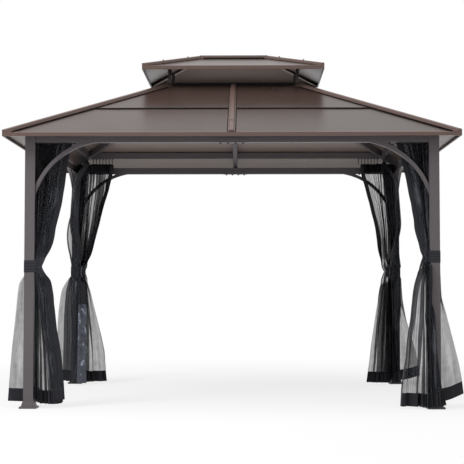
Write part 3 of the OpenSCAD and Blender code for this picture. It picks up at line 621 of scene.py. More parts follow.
def fold_swing(plan, t, line, close, spread, wave):
    """The wave times its fullness, in a direction that leans from along the row to across it."""
    hem = np.array(plan["hem"], float)
    full_hem, lean_hem = (rounded(hem[:, 0], hem[:, k], t, TABLE_ROUND)[None] for k in (4, 3))
    full_up = FULL_EDGE + (1 - FULL_EDGE) * np.sin(np.pi * t) ** 0.5
    full_up = full_up - plan.get("flat", 0.0) * (1 - step(t, *FLAT_EDGE))
    full = (1 - close) + close * full_up[None] * (1 - spread) + full_hem * spread
    lean = np.radians(rounded(*plan["lean"], t)[None] * (1 - spread) + lean_hem * spread)[..., None]
    along = np.gradient(line, axis=1)
    along /= np.linalg.norm(along, axis=2, keepdims=True) + TINY
    across = np.stack([-along[..., 1], along[..., 0]], axis=-1)
    return (wave * full)[..., None] * (np.cos(lean) * along + np.sin(lean) * across)


print("folds at the edge are", FULL_EDGE, "as full as those in the middle")

# %% [markdown]
# ## As long as the cut is wide
# Cloth keeps its width however it is gathered. How far the folds of a row swing
# is found by halving: too short a row swings further, too long a one less. The
# bound edge is too stiff to fold, so it is laid out straight after that.

# %% Folding to the width of the cut
SWING_ABOVE = ([0, 0.15, 1], [0.027, 0.05, 0.034])  # most swing in metres, by fall
SWING_BELOW = ([0, 0.1, 1], [0, 0.03, 0.09])  # and what drop adds to it
HALVINGS = 26


def fold_to_width(line, swing, fall, drop, width):
    """Line plus swing, with the share of swing halved in on until each row is as long as the cut is wide."""
    least, most = np.zeros(len(fall)), np.interp(fall, *SWING_ABOVE) + np.interp(drop, *SWING_BELOW)
    for _ in range(HALVINGS):
        middle = (least + most) / 2
        length = np.linalg.norm(np.diff(line + middle[:, None, None] * swing, axis=1), axis=2).sum(axis=1)
        short = length < width
        least, most = np.where(short, middle, least), np.where(short, most, middle)
    return line + least[:, None, None] * swing


print("a row swings by up to", max(SWING_ABOVE[1]), "m above its tie")

# %% The bound edge
BAND_ANGLE, BAND_TURN = 8.0, 75  # degrees of the free edge to the rail, and its turn at the tie


def lay_edge(flat, plan, t, fall, drop, width):
    """The bound edge lies straight: from its first column on it runs in one direction."""
    last = 1 - EDGE_TAPE / width
    base = flat[:, np.searchsorted(t, last)][:, None]
    above = plan.get("band", BAND_ANGLE)
    turned = above + BAND_TURN * (1 - looseness(fall, drop))
    angle = np.radians(np.where(drop > 0, plan.get("band_low", above), turned))
    band = np.clip(t - last, 0, 1) * width
    laid = base + band[None, :, None] * np.stack([np.cos(angle), np.sin(angle)], axis=-1)[:, None]
    return np.where((t > last)[None, :, None], laid, flat)


print("the bound edge is", EDGE_TAPE, "m wide")

# %% [markdown]
# ## Heights, and what the net must not run into
# The header sags a little between its hooks and the hem follows a line of its
# own. The net then has to stay off the curved brace, the post and its foot, and
# stay inside its tie. Part of a bundle may lie over the tie: near it, those
# columns follow a line of their own, which opens out like a fan above and below.

# %% Heights of a net
HEADER_SAG, SAG_FADE = 0.016, 8


def net_heights(plan, t, low, fall, strap, drop):
    """Even steps from header to tie to hem, less the scallops at the header, on a hem line by the table."""
    hem_z = rounded(*plan["hem_z"], t)[None]
    sag = 0.5 - 0.5 * np.cos(2 * np.pi * FOLDS * (t - FIRST_FOLD))[None]
    z = NET_TOP - (NET_TOP - low - TIE_HIGH) * fall[:, None] - TIE_HIGH * strap[:, None]
    return z - (low - hem_z) * drop[:, None] - HEADER_SAG * sag * (1 - fall[:, None]) ** SAG_FADE


print("a header sags by up to", HEADER_SAG, "m between its hooks")

# %% Clear of the brace, the post and its foot
BEAM_Z, BRACE_LOW, BRACE_START, BRACE_REACH = 2.113, 1.733, 0.04, 0.412
BRACE_CLEAR = ([-0.16, -0.05], [-0.3, 0.011])  # height under the brace, and the least way inward there
FOOT_CLEAR, FOOT_SKIN = ([0.02, 0.075], [0.072, 0.042]), 0.002
TIED_ALONG, TIED_INWARD = (0.0425, 0.0868), (-0.0385, 0.0385)


def keep_clear(flat, z, strap, drop):
    """Pushes points off the arc of the brace, off the post and its foot, and into the space in the tie."""
    a, b = flat[..., 0], flat[..., 1]
    rise = np.clip((a - BRACE_START) / BRACE_REACH, 0, 1)
    arc = BRACE_LOW + (BEAM_Z - BRACE_LOW) * np.sqrt(1 - (1 - rise) ** 2)
    b = np.where(drop[:, None] == 0, np.maximum(b, np.interp(z - arc, *BRACE_CLEAR)), b)
    foot = np.interp(z, *FOOT_CLEAR)
    a = np.where(b > -foot - FOOT_SKIN, np.maximum(a, foot), a)
    held = ((strap > 0) & (drop == 0))[:, None]
    return np.where(held, np.clip(a, *TIED_ALONG), a), np.where(held, np.clip(b, *TIED_INWARD), b)


print("a bundle in its tie is", round(TIED_ALONG[1] - TIED_ALONG[0], 4), "m deep")

# %% Cloth that lies over the tie
OVER_FROM, OVER_PINCH, OVER_PIVOT, RIPPLE, RIPPLES = 0.04, 0.12, 0.045, 0.0022, 15


def lie_over(a, b, plan, t, z, low):
    """Near the tie, from one column on, the points follow a rippled table line that flares with distance."""
    over = np.array(plan["over"], float)
    far = np.abs(z.mean(axis=1) - low - TIE_HIGH / 2)[:, None]
    near = (1 - step(far, OVER_FROM, plan.get("pinch", OVER_PINCH))) * (t >= over[0, 0])[None]
    ripple = RIPPLE * np.sin(2 * np.pi * RIPPLES * t)[None]
    along, inward = (np.interp(t, over[:, 0], over[:, k])[None] * MM for k in (1, 2))
    along = OVER_PIVOT + (along - OVER_PIVOT) * (1 + plan.get("flare", 0) * far)
    return a * (1 - near) + near * (along + ripple), b * (1 - near) + near * (inward + ripple)


print("cloth over a tie is free of it", OVER_PINCH, "m away")

# %% The surface of a net
def net_surface(plan, width, low, seed, cols):
    """Grid of points (rows, cols, 3) as along rail, inward from post, height, and its flat pattern.
    A point is its line in plan plus a swing times the direction of the fold."""
    draw = np.random.default_rng(seed)
    t = np.linspace(0, 1, cols)
    fall, strap, drop = net_rows(low)
    line, close, spread = plan_lines(plan, t, fall, drop)
    loosen(line, plan, t, fall, strap, drop, draw)
    swing = fold_swing(plan, t, line, close, spread, fold_wave(plan, t, fall, drop, draw))
    flat = lay_edge(fold_to_width(line, swing, fall, drop, width), plan, t, fall, drop, width)
    z = net_heights(plan, t, low, fall, strap, drop)
    a, b = keep_clear(flat, z, strap, drop)
    if "over" in plan:
        a, b = lie_over(a, b, plan, t, z, low)
    depth = np.concatenate([[0], np.cumsum(np.abs(np.diff(z.mean(axis=1))))])
    cut = np.stack(np.broadcast_arrays(t[None] * width, depth[:, None]), axis=-1)
    return np.stack([a, b, z], axis=-1), cut


print("a net is cut", CUT_LONG, "or", CUT_SHORT, "m wide")

# %% [markdown]
# ## Eight nets
# Each net has its own plan. A row of a hem table gives a share of the cut, where
# that part of the hem lies along the rail and inward from the middle of the post
# in millimetres, how far its folds lean in degrees, and how full they are. Tables
# of close and open give shares of the way down and how far the net has closed or
# opened there. The first rows of a side net's table are a single flat layer that
# flares out past the post. At the front right the net swings in front of the post
# and hides its foot.
#
# The other words are small corrections. Over is a line on the tie, and
# flare and pinch say how it fans out. Lead lets a net come inward early or late,
# flat thins the folds by the post, sway and bulge push cloth outwards, and band
# and edge turn and shift the free edge.

# %% Lines and curves that nets share
BUNDLE = [(0, 47, 0), (1, 83, 0)]
FLAP_BUNDLE = [(0, 47, -37), (0.3, 56, -12), (0.65, 67, 12), (1, 80, 34)]
SLOW_CLOSE = ([0, 0.11, 0.26, 0.40, 0.566, 0.69, 0.885, 1], [0, 0.044, 0.11, 0.24, 0.377, 0.512, 0.747, 1])
EVEN_OPEN = ([0, 0.1, 0.25, 0.5, 0.8, 1], [0, 0.3, 0.48, 0.68, 0.88, 1])
LATE_OPEN = ([0, 0.25, 0.37, 0.5, 0.63, 0.76, 0.87, 1], [0, 0.107, 0.3, 0.47, 0.64, 0.81, 0.917, 1])
OVER_BUNDLE = [(0.5, 96, 44), (0.7, 98, -40), (0.85, 101, 30), (1, 104, -38)]
SIDE_HEM = [(0.6, 165, 6, 55, 1), (0.95, 262, 4, 55, 0.8), (1, 250, 0, 88, 0.1)]
DENSE = ([0, 1], [38, 38])
THIN_EDGE = ([0, 0.3, 0.45, 0.6, 0.8, 1], [30, 40, 58, 70, 76, 76])
LATE_THIN_EDGE = ([0, 0.42, 0.6, 0.74, 0.86, 1], [30, 38, 40, 46, 66, 76])
print("nets lean by", DENSE[1][0], "degrees where they are dense")

# %% Plans of the front nets
FRONT_NETS = {
    "front_net_left": {
        "signs": (-1, -1), "low": TIE_LOW, "seed": 11, "wide_folds": 10.4, "lean": DENSE, "waist": BUNDLE,
        "over": [(0.55, 50, -48), (0.75, 101, -50), (0.9, 62, -54), (1, 103, -56)], "flare": 8,
        "edge": (0.93, 0.0),
        "close": ([0, 0.07, 0.196, 0.319, 0.398, 0.492, 0.553, 0.616, 0.679, 0.741, 0.804, 0.866, 0.929, 1],
                  [0, 0.28, 0.351, 0.418, 0.445, 0.498, 0.525, 0.578, 0.632, 0.685, 0.729, 0.782, 0.863, 1]),
        "open_near": EVEN_OPEN,
        "open_far": ([0, 0.025, 0.08, 0.183, 0.277, 0.372, 0.467, 0.561, 0.655, 0.75, 0.876, 1],
                     [0, 0.10, 0.235, 0.405, 0.497, 0.56, 0.63, 0.745, 0.83, 0.893, 0.954, 1]),
        "hem": [(0, 44, -6, 35, 0.9), (0.3, 72, 40, 35, 1), (0.42, 98, 62, 45, 0.9), (0.46, 118, 58, 62, 0.6),
                (0.64, 196, 45, 52, 0.8), (0.7, 216, 40, 55, 0.7), (0.95, 266, 20, 38, 0.8),
                (1, 280, 8, 60, 0.3)],
        "hem_z": ([0, 0.2, 0.4, 0.7, 0.9, 1], [0.066, 0.062, 0.032, 0.028, 0.05, 0.067])},
    "front_net_right": {
        "signs": (1, -1), "low": TIE_LOW_FRONT_RIGHT, "seed": 12, "wide_folds": 11.2, "lean": DENSE,
        "waist": BUNDLE, "over": [(0.55, 50, -48), (0.75, 98, -50), (0.9, 62, -54), (1, 99, -56)],
        "flare": 8, "band_low": 84, "lead": 0.2, "flat": 0.5, "edge": (0.95, 0.0),
        "close": ([0, 0.06, 0.2, 0.345, 0.379, 0.429, 0.479, 0.531, 0.597, 0.665, 0.733, 0.8, 0.868, 1],
                  [0, 0.36, 0.47, 0.577, 0.604, 0.63, 0.657, 0.684, 0.737, 0.764, 0.808, 0.834, 0.887, 1]),
        "open_near": ([0, 0.1, 0.2, 0.29, 0.34, 0.4, 0.45, 0.51, 0.62, 0.73, 0.84, 1],
                      [0, 0.012, 0.03, 0.055, 0.1, 0.19, 0.26, 0.33, 0.42, 0.54, 0.65, 1]),
        "open_far": ([0, 0.033, 0.09, 0.146, 0.232, 0.317, 0.403, 0.489, 0.574, 0.659, 0.744, 0.858, 1],
                     [0, 0.09, 0.24, 0.37, 0.50, 0.557, 0.605, 0.70, 0.755, 0.786, 0.872, 0.957, 1]),
        "hem": [(0, -72, -84, 80, 0.1), (0.1, -30, -86, 45, 0.4), (0.3, 42, -84, 28, 0.8),
                (0.58, 80, -40, 34, 1), (0.81, 126, 0, 40, 1), (0.85, 168, 20, 62, 0.6),
                (0.9, 205, 20, 40, 0.8), (0.94, 262, 10, 86, 0.1), (1, 320, -10, 88, 0.1)],
        "hem_z": ([0, 0.3, 0.6, 1], [0.035, 0.014, 0.01, 0.016])},
}
print("front nets:", *FRONT_NETS)

# %% Plans of the back nets
BACK_NETS = {
    "back_net_left": {
        "signs": (-1, 1), "low": TIE_LOW, "seed": 13, "wide_folds": 10.8, "lean": LATE_THIN_EDGE,
        "waist": BUNDLE, "over": [(0.5, 52, 90), (0.7, 90, 58), (0.85, 62, 84), (1, 95, 56)],
        "flare": 9, "band_low": 84, "edge": (0.92, -0.04),
        "close": SLOW_CLOSE, "open_near": EVEN_OPEN,
        "open_far": ([0, 0.014, 0.14, 0.245, 0.4, 0.56, 0.72, 0.91, 1],
                     [0, 0.05, 0.28, 0.43, 0.6, 0.77, 0.91, 0.96, 1]),
        "hem": [(0, 10, 96, 40, 0.6), (0.4, 50, 100, 35, 1), (0.70, 96, 90, 40, 1), (0.79, 140, 75, 45, 0.9),
                (0.86, 205, 60, 60, 0.5), (0.92, 285, 40, 84, 0.15), (1, 372, 10, 88, 0.1)],
        "hem_z": ([0, 0.6, 1], [0.03, 0.02, 0.026])},
    "back_net_right": {
        "signs": (1, 1), "low": TIE_LOW, "seed": 14, "wide_folds": 10.0, "lean": THIN_EDGE, "waist": BUNDLE,
        "over": [(0.5, 52, 90), (0.7, 104, 52), (0.85, 76, 76), (1, 116, 46)], "flare": 7, "pinch": 0.15,
        "band_low": 84, "edge": (0.88, 0.0), "reach": 0.350,
        "close": ([0, 0.09, 0.14, 0.198, 0.256, 0.314, 0.391, 0.468, 0.546, 0.623, 0.7, 0.777, 0.854, 0.931,
                   1],
                  [0, 0.01, 0.075, 0.15, 0.215, 0.27, 0.365, 0.43, 0.52, 0.59, 0.63, 0.67, 0.71, 0.79, 1]),
        "open_near": EVEN_OPEN,
        "open_far": ([0, 0.013, 0.096, 0.19, 0.32, 0.486, 0.65, 0.82, 0.89, 1],
                     [0, 0.15, 0.363, 0.473, 0.577, 0.687, 0.796, 0.88, 0.935, 1]),
        "hem": [(0, 10, 96, 40, 0.6), (0.4, 56, 100, 35, 0.9), (0.56, 92, 88, 38, 1), (0.64, 112, 80, 45, 1),
                (0.70, 160, 68, 50, 0.7), (0.82, 215, 56, 42, 0.8), (0.89, 258, 40, 70, 0.3),
                (0.95, 304, 15, 60, 0.3), (1, 334, 5, 88, 0.1)],
        "hem_z": ([0, 1], [0.02, 0.016])},
}
print("back nets:", *BACK_NETS)

# %% Plans of the side nets
SIDE_NETS = {
    "left_net_front": {
        "signs": (-1, -1), "low": TIE_LOW, "seed": 15, "wide_folds": 12.2, "lean": DENSE,
        "waist": FLAP_BUNDLE, "close": SLOW_CLOSE, "open_far": EVEN_OPEN,
        "open_near": ([0, 0.07, 0.15, 0.28, 0.45, 0.6, 0.74, 0.88, 1],
                      [0, 0.39, 0.48, 0.56, 0.68, 0.8, 0.88, 0.945, 1]),
        "hem": [(0, 78, -183, 88, 0), (0.07, 74, -95, 88, 0), (0.135, 72, -12, 88, 0.05),
                (0.2, 84, 8, 60, 0.8)] + SIDE_HEM,
        "hem_z": ([0, 0.13, 0.3, 1], [0.05, 0.045, 0.03, 0.035])},
    "left_net_back": {
        "signs": (-1, 1), "low": TIE_LOW, "seed": 16, "wide_folds": 12.0, "lean": DENSE, "waist": FLAP_BUNDLE,
        "over": OVER_BUNDLE, "band": 88, "placket": (0.925, 0.81), "flat": 0.3, "lead": 0.45, "sway": 0.112,
        "bulge": 0.088, "reach": 0.425, "edge": (0.93, 0.0), "close": SLOW_CLOSE, "open_far": EVEN_OPEN,
        "open_near": ([0, 0.05, 0.14, 0.28, 0.38, 0.49, 1], [0, 0.1, 0.5, 0.74, 0.886, 0.93, 1]),
        "hem": [(0, 78, -178, 88, 0), (0.055, 76, -104, 88, 0), (0.09, 78, -97, 25, 1), (0.2, 84, -62, 25, 1),
                (0.3, 92, -8, 40, 1), (0.6, 160, 2, 55, 1), (0.88, 240, 25, 60, 0.5),
                (0.93, 255, 42, 88, 0.05), (1, 262, 135, 88, 0)],
        "hem_z": ([0, 0.13, 0.3, 1], [0.04, 0.035, 0.025, 0.02])},
    "right_net_front": {
        "signs": (1, -1), "low": TIE_LOW_FRONT_RIGHT, "seed": 17, "wide_folds": 12.4, "lean": DENSE,
        "waist": FLAP_BUNDLE, "close": SLOW_CLOSE, "open_far": EVEN_OPEN, "open_near": LATE_OPEN,
        "hem": [(0, 84, -236, 88, 0), (0.1, 76, -120, 88, 0), (0.175, 72, -12, 88, 0.05),
                (0.24, 84, 8, 60, 0.8)] + SIDE_HEM,
        "hem_z": ([0, 0.08, 0.175, 0.3, 1], [0.112, 0.07, 0.035, 0.03, 0.035])},
    "right_net_back": {
        "signs": (1, 1), "low": TIE_LOW, "seed": 18, "wide_folds": 12.6, "lean": DENSE, "waist": FLAP_BUNDLE,
        "over": OVER_BUNDLE, "sway": 0.118, "edge": (0.93, 0.0),
        "close": SLOW_CLOSE, "open_far": EVEN_OPEN, "open_near": LATE_OPEN,
        "hem": [(0, 84, -230, 88, 0), (0.1, 76, -118, 88, 0), (0.172, 72, -12, 88, 0.05),
                (0.24, 84, 8, 60, 0.8)] + SIDE_HEM,
        "hem_z": ([0, 0.08, 0.172, 0.3, 1], [0.09, 0.06, 0.036, 0.03, 0.03])},
}
NETS = {**FRONT_NETS, **BACK_NETS, **SIDE_NETS}
print("side nets:", *SIDE_NETS)

# %% [markdown]
# ## Hanging the nets
# The surface is worked out once, at a corner, and laid into its own corner by
# swapping and mirroring its first two columns. The netting is the whole grid. The
# binding is the part of the same grid along the header, the hem and the free
# edge, with a real thickness from a Solidify modifier, so the net runs inside it
# as it does when it is sewn in. One net has a lined placket on its free edge.

# %% Into a corner
def into_corner(points, along_y, signs):
    """From along rail, inward from post and height to the frame: the post's middle less both, mirrored."""
    a, b, z = np.moveaxis(points, -1, 0)
    x, y = (b, a) if along_y else (a, b)
    return np.stack([signs[0] * (POST_MID[0] - x), signs[1] * (POST_MID[1] - y), z], axis=-1)


def thicken(piece, thickness):
    """A wall of that thickness with the piece's own surface in its middle."""
    wall = piece.modifiers.new("wall", "SOLIDIFY")
    wall.thickness = thickness
    wall.offset = 0.0


print("a post's middle in two corners:", *(into_corner(np.zeros(3), False, (s, s)) for s in (-1, 1)))

# %% Nets and their bindings
COLS_LONG, COLS_SHORT = 250, 220
BINDING_THICK, PLACKET_THICK = 0.002, 0.0024
for name, plan in NETS.items():
    along_y = name.startswith(("left", "right"))
    width, cols = (CUT_SHORT, COLS_SHORT) if along_y else (CUT_LONG, COLS_LONG)
    points, cut = net_surface(plan, width, plan["low"], plan["seed"], cols)
    place = into_corner(points, along_y, plan["signs"])
    quads = grid_quads(*place.shape[:2])
    net = make_piece(name + "_netting", place, quads, netting, cut)
    row, col = quads[:, 0] // cols, quads[:, 0] % cols
    edge_cols = int(round(EDGE_TAPE / width * cols))
    binding = (row < HEADER_ROWS) | (row >= len(points) - HEM_ROWS - 1) | (col >= cols - 1 - edge_cols)
    lined = np.zeros(len(quads), bool)
    if "placket" in plan:
        first, top = plan["placket"]
        lined = (col / (cols - 1) >= first) & (points[..., 2].mean(axis=1)[row] < top)
    sewn = [make_piece(name + "_binding", place, quads[binding & ~lined], tape, cut)]
    thicken(sewn[0], BINDING_THICK)
    if lined.any():
        sewn.append(make_piece(name + "_placket", place, quads[lined], satin, cut))
        thicken(sewn[-1], PLACKET_THICK)
    side = name.split("_net_")[0]
    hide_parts(name)
    print(name, "quads", len(quads), "bound", int(binding.sum()))

# %% [markdown]
# ## The ties
# A tie is a webbing strap round the post and its two bundles, closed with hook
# and loop. It is drawn as a plain closed band. A closed profile carried round the
# outline gives it a real thickness and soft edges.

# %% Outline of a tie
TIE_NEAR, TIE_FAR, TIE_BEVEL, TIE_ROUND = 0.0404, 0.0884, 0.1284, 0.010
TIE_STEPS, TIE_FINE = 160, 2000


def strap_outline():
    """Closed outline of five sides round a post and its bundles, corners rounded by a moving average."""
    slant = TIE_BEVEL - TIE_FAR
    corner = np.array([[-TIE_NEAR, -TIE_NEAR], [TIE_FAR, -TIE_NEAR], [TIE_FAR, slant], [slant, TIE_FAR],
                       [-TIE_NEAR, TIE_FAR]])
    ring = np.concatenate([corner, corner[:1]])
    length = np.concatenate([[0], np.cumsum(np.linalg.norm(np.diff(ring, axis=0), axis=1))])
    fine = np.linspace(0, length[-1], TIE_FINE + 1)[:-1]
    dense = np.stack([np.interp(fine, length, ring[:, k]) for k in (0, 1)], axis=-1)
    half = max(1, int(TIE_ROUND / length[-1] * TIE_FINE))
    window = np.hanning(2 * half + 3)[1:-1]
    smooth = np.stack([np.convolve(np.concatenate([dense[-half:, k], dense[:, k], dense[:half, k]]),
                                   window / window.sum(), "valid") for k in (0, 1)], axis=-1)
    pick = np.linspace(0, TIE_FINE, TIE_STEPS + 1)[:-1].astype(int)
    return smooth[pick], fine[pick]


print("a tie is", round(strap_outline()[1][-1], 3), "m round")

# %% Tie straps
TIE_SECTION, TIE_HALF, TIE_OFF, TIE_SQUARE = 24, 0.0015, 0.0016, 0.4
TIE_TILT, TIE_TILT_START = 0.003, 0.6


def strap(name, low, signs):
    """A flat rounded section carried round the outline: out by half its thickness, up by half its width."""
    path, along = strap_outline()
    tangent = np.roll(path, -1, axis=0) - np.roll(path, 1, axis=0)
    tangent /= np.linalg.norm(tangent, axis=1, keepdims=True)
    outward = np.stack([tangent[:, 1], -tangent[:, 0]], axis=-1)
    turn = np.linspace(0, 2 * np.pi, TIE_SECTION, endpoint=False)
    thick = TIE_HALF * np.sign(np.cos(turn)) * np.abs(np.cos(turn)) ** TIE_SQUARE
    up = TIE_HIGH / 2 * np.sign(np.sin(turn)) * np.abs(np.sin(turn)) ** TIE_SQUARE
    tilt = TIE_TILT * np.sin(2 * np.pi * along / along[-1] + TIE_TILT_START)
    plan = path[:, None] + (TIE_OFF + thick)[None, :, None] * outward[:, None]
    z = low + TIE_HIGH / 2 + up[None] + tilt[:, None]
    points = into_corner(np.concatenate([plan, z[..., None]], axis=-1), False, signs)
    cut = np.stack(np.broadcast_arrays(along[:, None], up[None]), axis=-1)
    quads = grid_quads(TIE_STEPS, TIE_SECTION, True, True)
    quads = quads if signs[0] * signs[1] > 0 else quads[:, ::-1]
    return make_piece(name, points, quads, webbing, cut)


TIES = {"front_left": (-1, -1), "front_right": (1, -1), "back_left": (-1, 1), "back_right": (1, 1)}
for name, signs in TIES.items():
    tie = strap("net_tie_" + name, TIE_LOW_FRONT_RIGHT if name == "front_right" else TIE_LOW, signs)
    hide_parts("net_ties")
print(len(TIES), "ties")

# %% [markdown]
# ## The planes of the roof
# Shadow strips and screws lie on the roof, so its sizes from the CAD source are
# set down here, and the lengths of slopes and hips follow from them. A frame holds
# three directions, one to a row: along, across and out of the surface. That is
# easier to read than angles, and a place on a slope is a sum of them.

# %% Sizes of the roof
CORNERS = [(-1, -1), (1, -1), (-1, 1), (1, 1)]
ROOF_X, ROOF_Y, EAVE_Z, ROOF_PITCH, CROWN_Y = 1.805, 1.500, 2.170, math.radians(25.2), 0.275
UPPER_X, UPPER_Y, UPPER_EAVE_Z, UPPER_PITCH = 0.794, 0.489, 2.8864, math.radians(18)
ROOF_RUN = ROOF_Y - CROWN_Y
SLOPE_S = ROOF_RUN / math.cos(ROOF_PITCH)
HIP_PITCH, UPPER_HIP_PITCH = (math.atan(math.tan(p) / math.sqrt(2)) for p in (ROOF_PITCH, UPPER_PITCH))
HIP_L = ROOF_RUN * math.sqrt(2) / math.cos(HIP_PITCH)
UPPER_HIP_L = UPPER_Y * math.sqrt(2) / math.cos(UPPER_HIP_PITCH)
RIDGE_X, RIDGE_Z = UPPER_X - UPPER_Y, UPPER_EAVE_Z + UPPER_Y * math.tan(UPPER_PITCH)
print("slope", round(SLOPE_S, 3), "m, hip", round(HIP_L, 3), "m, upper hip", round(UPPER_HIP_L, 3), "m")

# %% Frames of slopes and hips
def slope_frame(turn, pitch):
    """Along, up and out of a roof slope that faces front, turned about the vertical."""
    c, s = math.cos(turn), math.sin(turn)
    spin = np.array([[c, -s, 0], [s, c, 0], [0, 0, 1]])
    c, s = math.cos(pitch), math.sin(pitch)
    return np.array([[1, 0, 0], [0, c, s], [0, -s, c]]) @ spin.T


def hip_frame(signs, pitch):
    """Up, across and out of a hip that starts at the corner with these signs."""
    half = math.sqrt(0.5)
    up = np.array([-signs[0] * half * math.cos(pitch), -signs[1] * half * math.cos(pitch), math.sin(pitch)])
    out = np.array([signs[0] * half * math.sin(pitch), signs[1] * half * math.sin(pitch), math.cos(pitch)])
    return np.stack([up, np.cross(out, up), out])


SLOPES = []  # for each slope its frame, the middle of its eave and half the length of that
for k in range(4):
    half, far = ((ROOF_X, ROOF_Y), (ROOF_Y, ROOF_X))[k % 2]
    eave = -far * slope_frame(k * math.pi / 2, 0.0)[1] + np.array([0, 0, EAVE_Z])
    SLOPES.append((slope_frame(k * math.pi / 2, ROOF_PITCH), eave, half))
print("front slope frame", SLOPES[0][0].round(3).tolist())

# %% [markdown]
# ## Small parts, many times
# Shadow strips, screws, bolts and hooks are tiny and repeat, so each kind is
# worked out once as a grid and laid down at all its places in one mesh. A place is
# a point and a frame. The ends of a grid close in a point, and the doubled points
# there are merged.

# %% Copies of a small shape
MERGE = 1e-6


def merge_ends(piece):
    """Merges the doubled points of each pole and turns all faces outwards."""
    shape = bmesh.new()
    shape.from_mesh(piece.data)
    bmesh.ops.remove_doubles(shape, verts=shape.verts, dist=MERGE)
    bmesh.ops.recalc_face_normals(shape, faces=shape.faces)
    shape.to_mesh(piece.data)
    shape.free()


def lay_down(name, unit, origins, frames, material):
    """Copies of a closed grid (rows, cols, 3): each point is its origin plus its three numbers times
    the three directions of its frame."""
    rows, cols = unit.shape[:2]
    points = origins[:, None, None] + np.einsum("rck,nkx->nrcx", unit, frames)
    quads = grid_quads(rows, cols, round_cols=True)
    quads = (quads[None] + rows * cols * np.arange(len(origins))[:, None, None]).reshape(-1, 4)
    piece = make_piece(name, points, quads, material)
    merge_ends(piece)
    print(name, len(origins), "copies,", len(piece.data.polygons), "faces")
    return piece


print("points closer than", MERGE, "m are merged")

# %% [markdown]
# ## Strips of painted shadow
# Thin dark lines of shadow show where the sheets lap, along both edges of every
# hip cap and batten, and along the ridge cap. They are painted shadow, drawn as a
# black strip in the gap there: a low half round section carried along a straight
# line. A line painted onto a surface would vanish from the side, and a strip also
# hides the gap it stands in.

# %% A row of rubber strips
STRIP_SINK, STRIP_COLS = 0.0006, 12


def strip_row(name, places, wide, high):
    """Half round strips that share a section, each stretched to its length; their ends close in a point.
    A place is (start, frame, length)."""
    turn = np.linspace(0, 2 * np.pi, STRIP_COLS, endpoint=False)
    size = np.array([0, 1, 1, 0.0])[:, None]
    along = np.array([0, 0, 1, 1.0])[:, None]
    across, up = wide / 2 * np.cos(turn), np.maximum(high * np.sin(turn), -STRIP_SINK)
    unit = np.stack(np.broadcast_arrays(along, across * size, up * size), axis=-1)
    origins = np.array([start for start, _, _ in places])
    frames = np.array([np.concatenate([axes[:1] * long, axes[1:]]) for _, axes, long in places])
    lay_down(name, unit, origins, frames, shadow_black)


print("strips sink", STRIP_SINK, "m into what they lie on")

# %% Strips along laps and battens
LAP_S, LAP_BACK, LAP_START, LAP_STOP = 0.650, 0.005, 0.030, 0.061
BATTEN_SKIP, BATTEN_EDGE, BATTEN_SHORT = 0.012, 0.032, 0.016
lap_places, batten_places = [], []
for (along, up, out), eave, half in SLOPES:
    lap_long = half - LAP_S * math.cos(ROOF_PITCH) - LAP_STOP - LAP_START
    for side in (-1, 1):
        start = eave + up * (LAP_S - LAP_BACK) + side * along * LAP_START
        lap_places.append((start, np.stack([side * along, up, out]), lap_long))
        edge = eave + up * BATTEN_SKIP + side * along * BATTEN_EDGE
        batten_places.append((edge, np.stack([up, along, out]), SLOPE_S - BATTEN_SHORT))
# painted shadow: dark strips for the shadow lines at the laps and beside the battens
strip_row("lap_shadow_strips", lap_places, wide=0.010, high=0.0098)
strip_row("batten_shadow_strips", batten_places, wide=0.009, high=0.0075)

# %% Strips along hip caps and the ridge cap
RIDGE_SKIP, RIDGE_EDGE = 0.03, 0.039


def hip_edges(corner, pitch, long, reach, skip, stop):
    """Places along both edges of four hip caps: reach out from the hip, down and tilted with the sheets."""
    places, bend = [], math.sin(pitch)
    for signs in CORNERS:
        up, across, out = hip_frame(signs, pitch)
        start = np.array([signs[0] * corner[0], signs[1] * corner[1], corner[2]])
        for side in (-1, 1):
            edge = start + up * skip + side * reach * across - reach * bend * out
            tilted = np.stack([up, across - side * bend * out, out + side * bend * across])
            places.append((edge, tilted, long - skip - stop))
    return places


ridge_places, bend = [], math.tan(UPPER_PITCH)
for side in (-1, 1):
    edge = np.array([-RIDGE_X + RIDGE_SKIP, side * RIDGE_EDGE, RIDGE_Z - RIDGE_EDGE * bend])
    tilted = np.array([[1, 0, 0], [0, 1, -side * bend], [0, side * bend, 1]])
    ridge_places.append((edge, tilted, 2 * RIDGE_X - 2 * RIDGE_SKIP))
hip_places = hip_edges((ROOF_X, ROOF_Y, EAVE_Z), HIP_PITCH, HIP_L, reach=0.0450, skip=0.060, stop=0.050)
upper_places = hip_edges((UPPER_X, UPPER_Y, UPPER_EAVE_Z), UPPER_HIP_PITCH, UPPER_HIP_L,
                         reach=0.0265, skip=0.046, stop=0.045)
# painted shadow: dark strips for the shadow lines along the edges of the caps
strip_row("hip_cap_shadow_strips", hip_places, wide=0.012, high=0.0115)
strip_row("upper_cap_shadow_strips", upper_places, wide=0.010, high=0.0070)
strip_row("ridge_cap_shadow_strips", ridge_places, wide=0.012, high=0.0125)

# %% [markdown]
# ## Screws and bolts
# Screws with a washer hold the caps and battens, and bolts show under the middle
# of each beam and by the top of each brace. A head is a grid too: the radius
# depends on the height, and from round to hexagon on the angle.

# %% A head with its washer
HEAD_COLS = 12


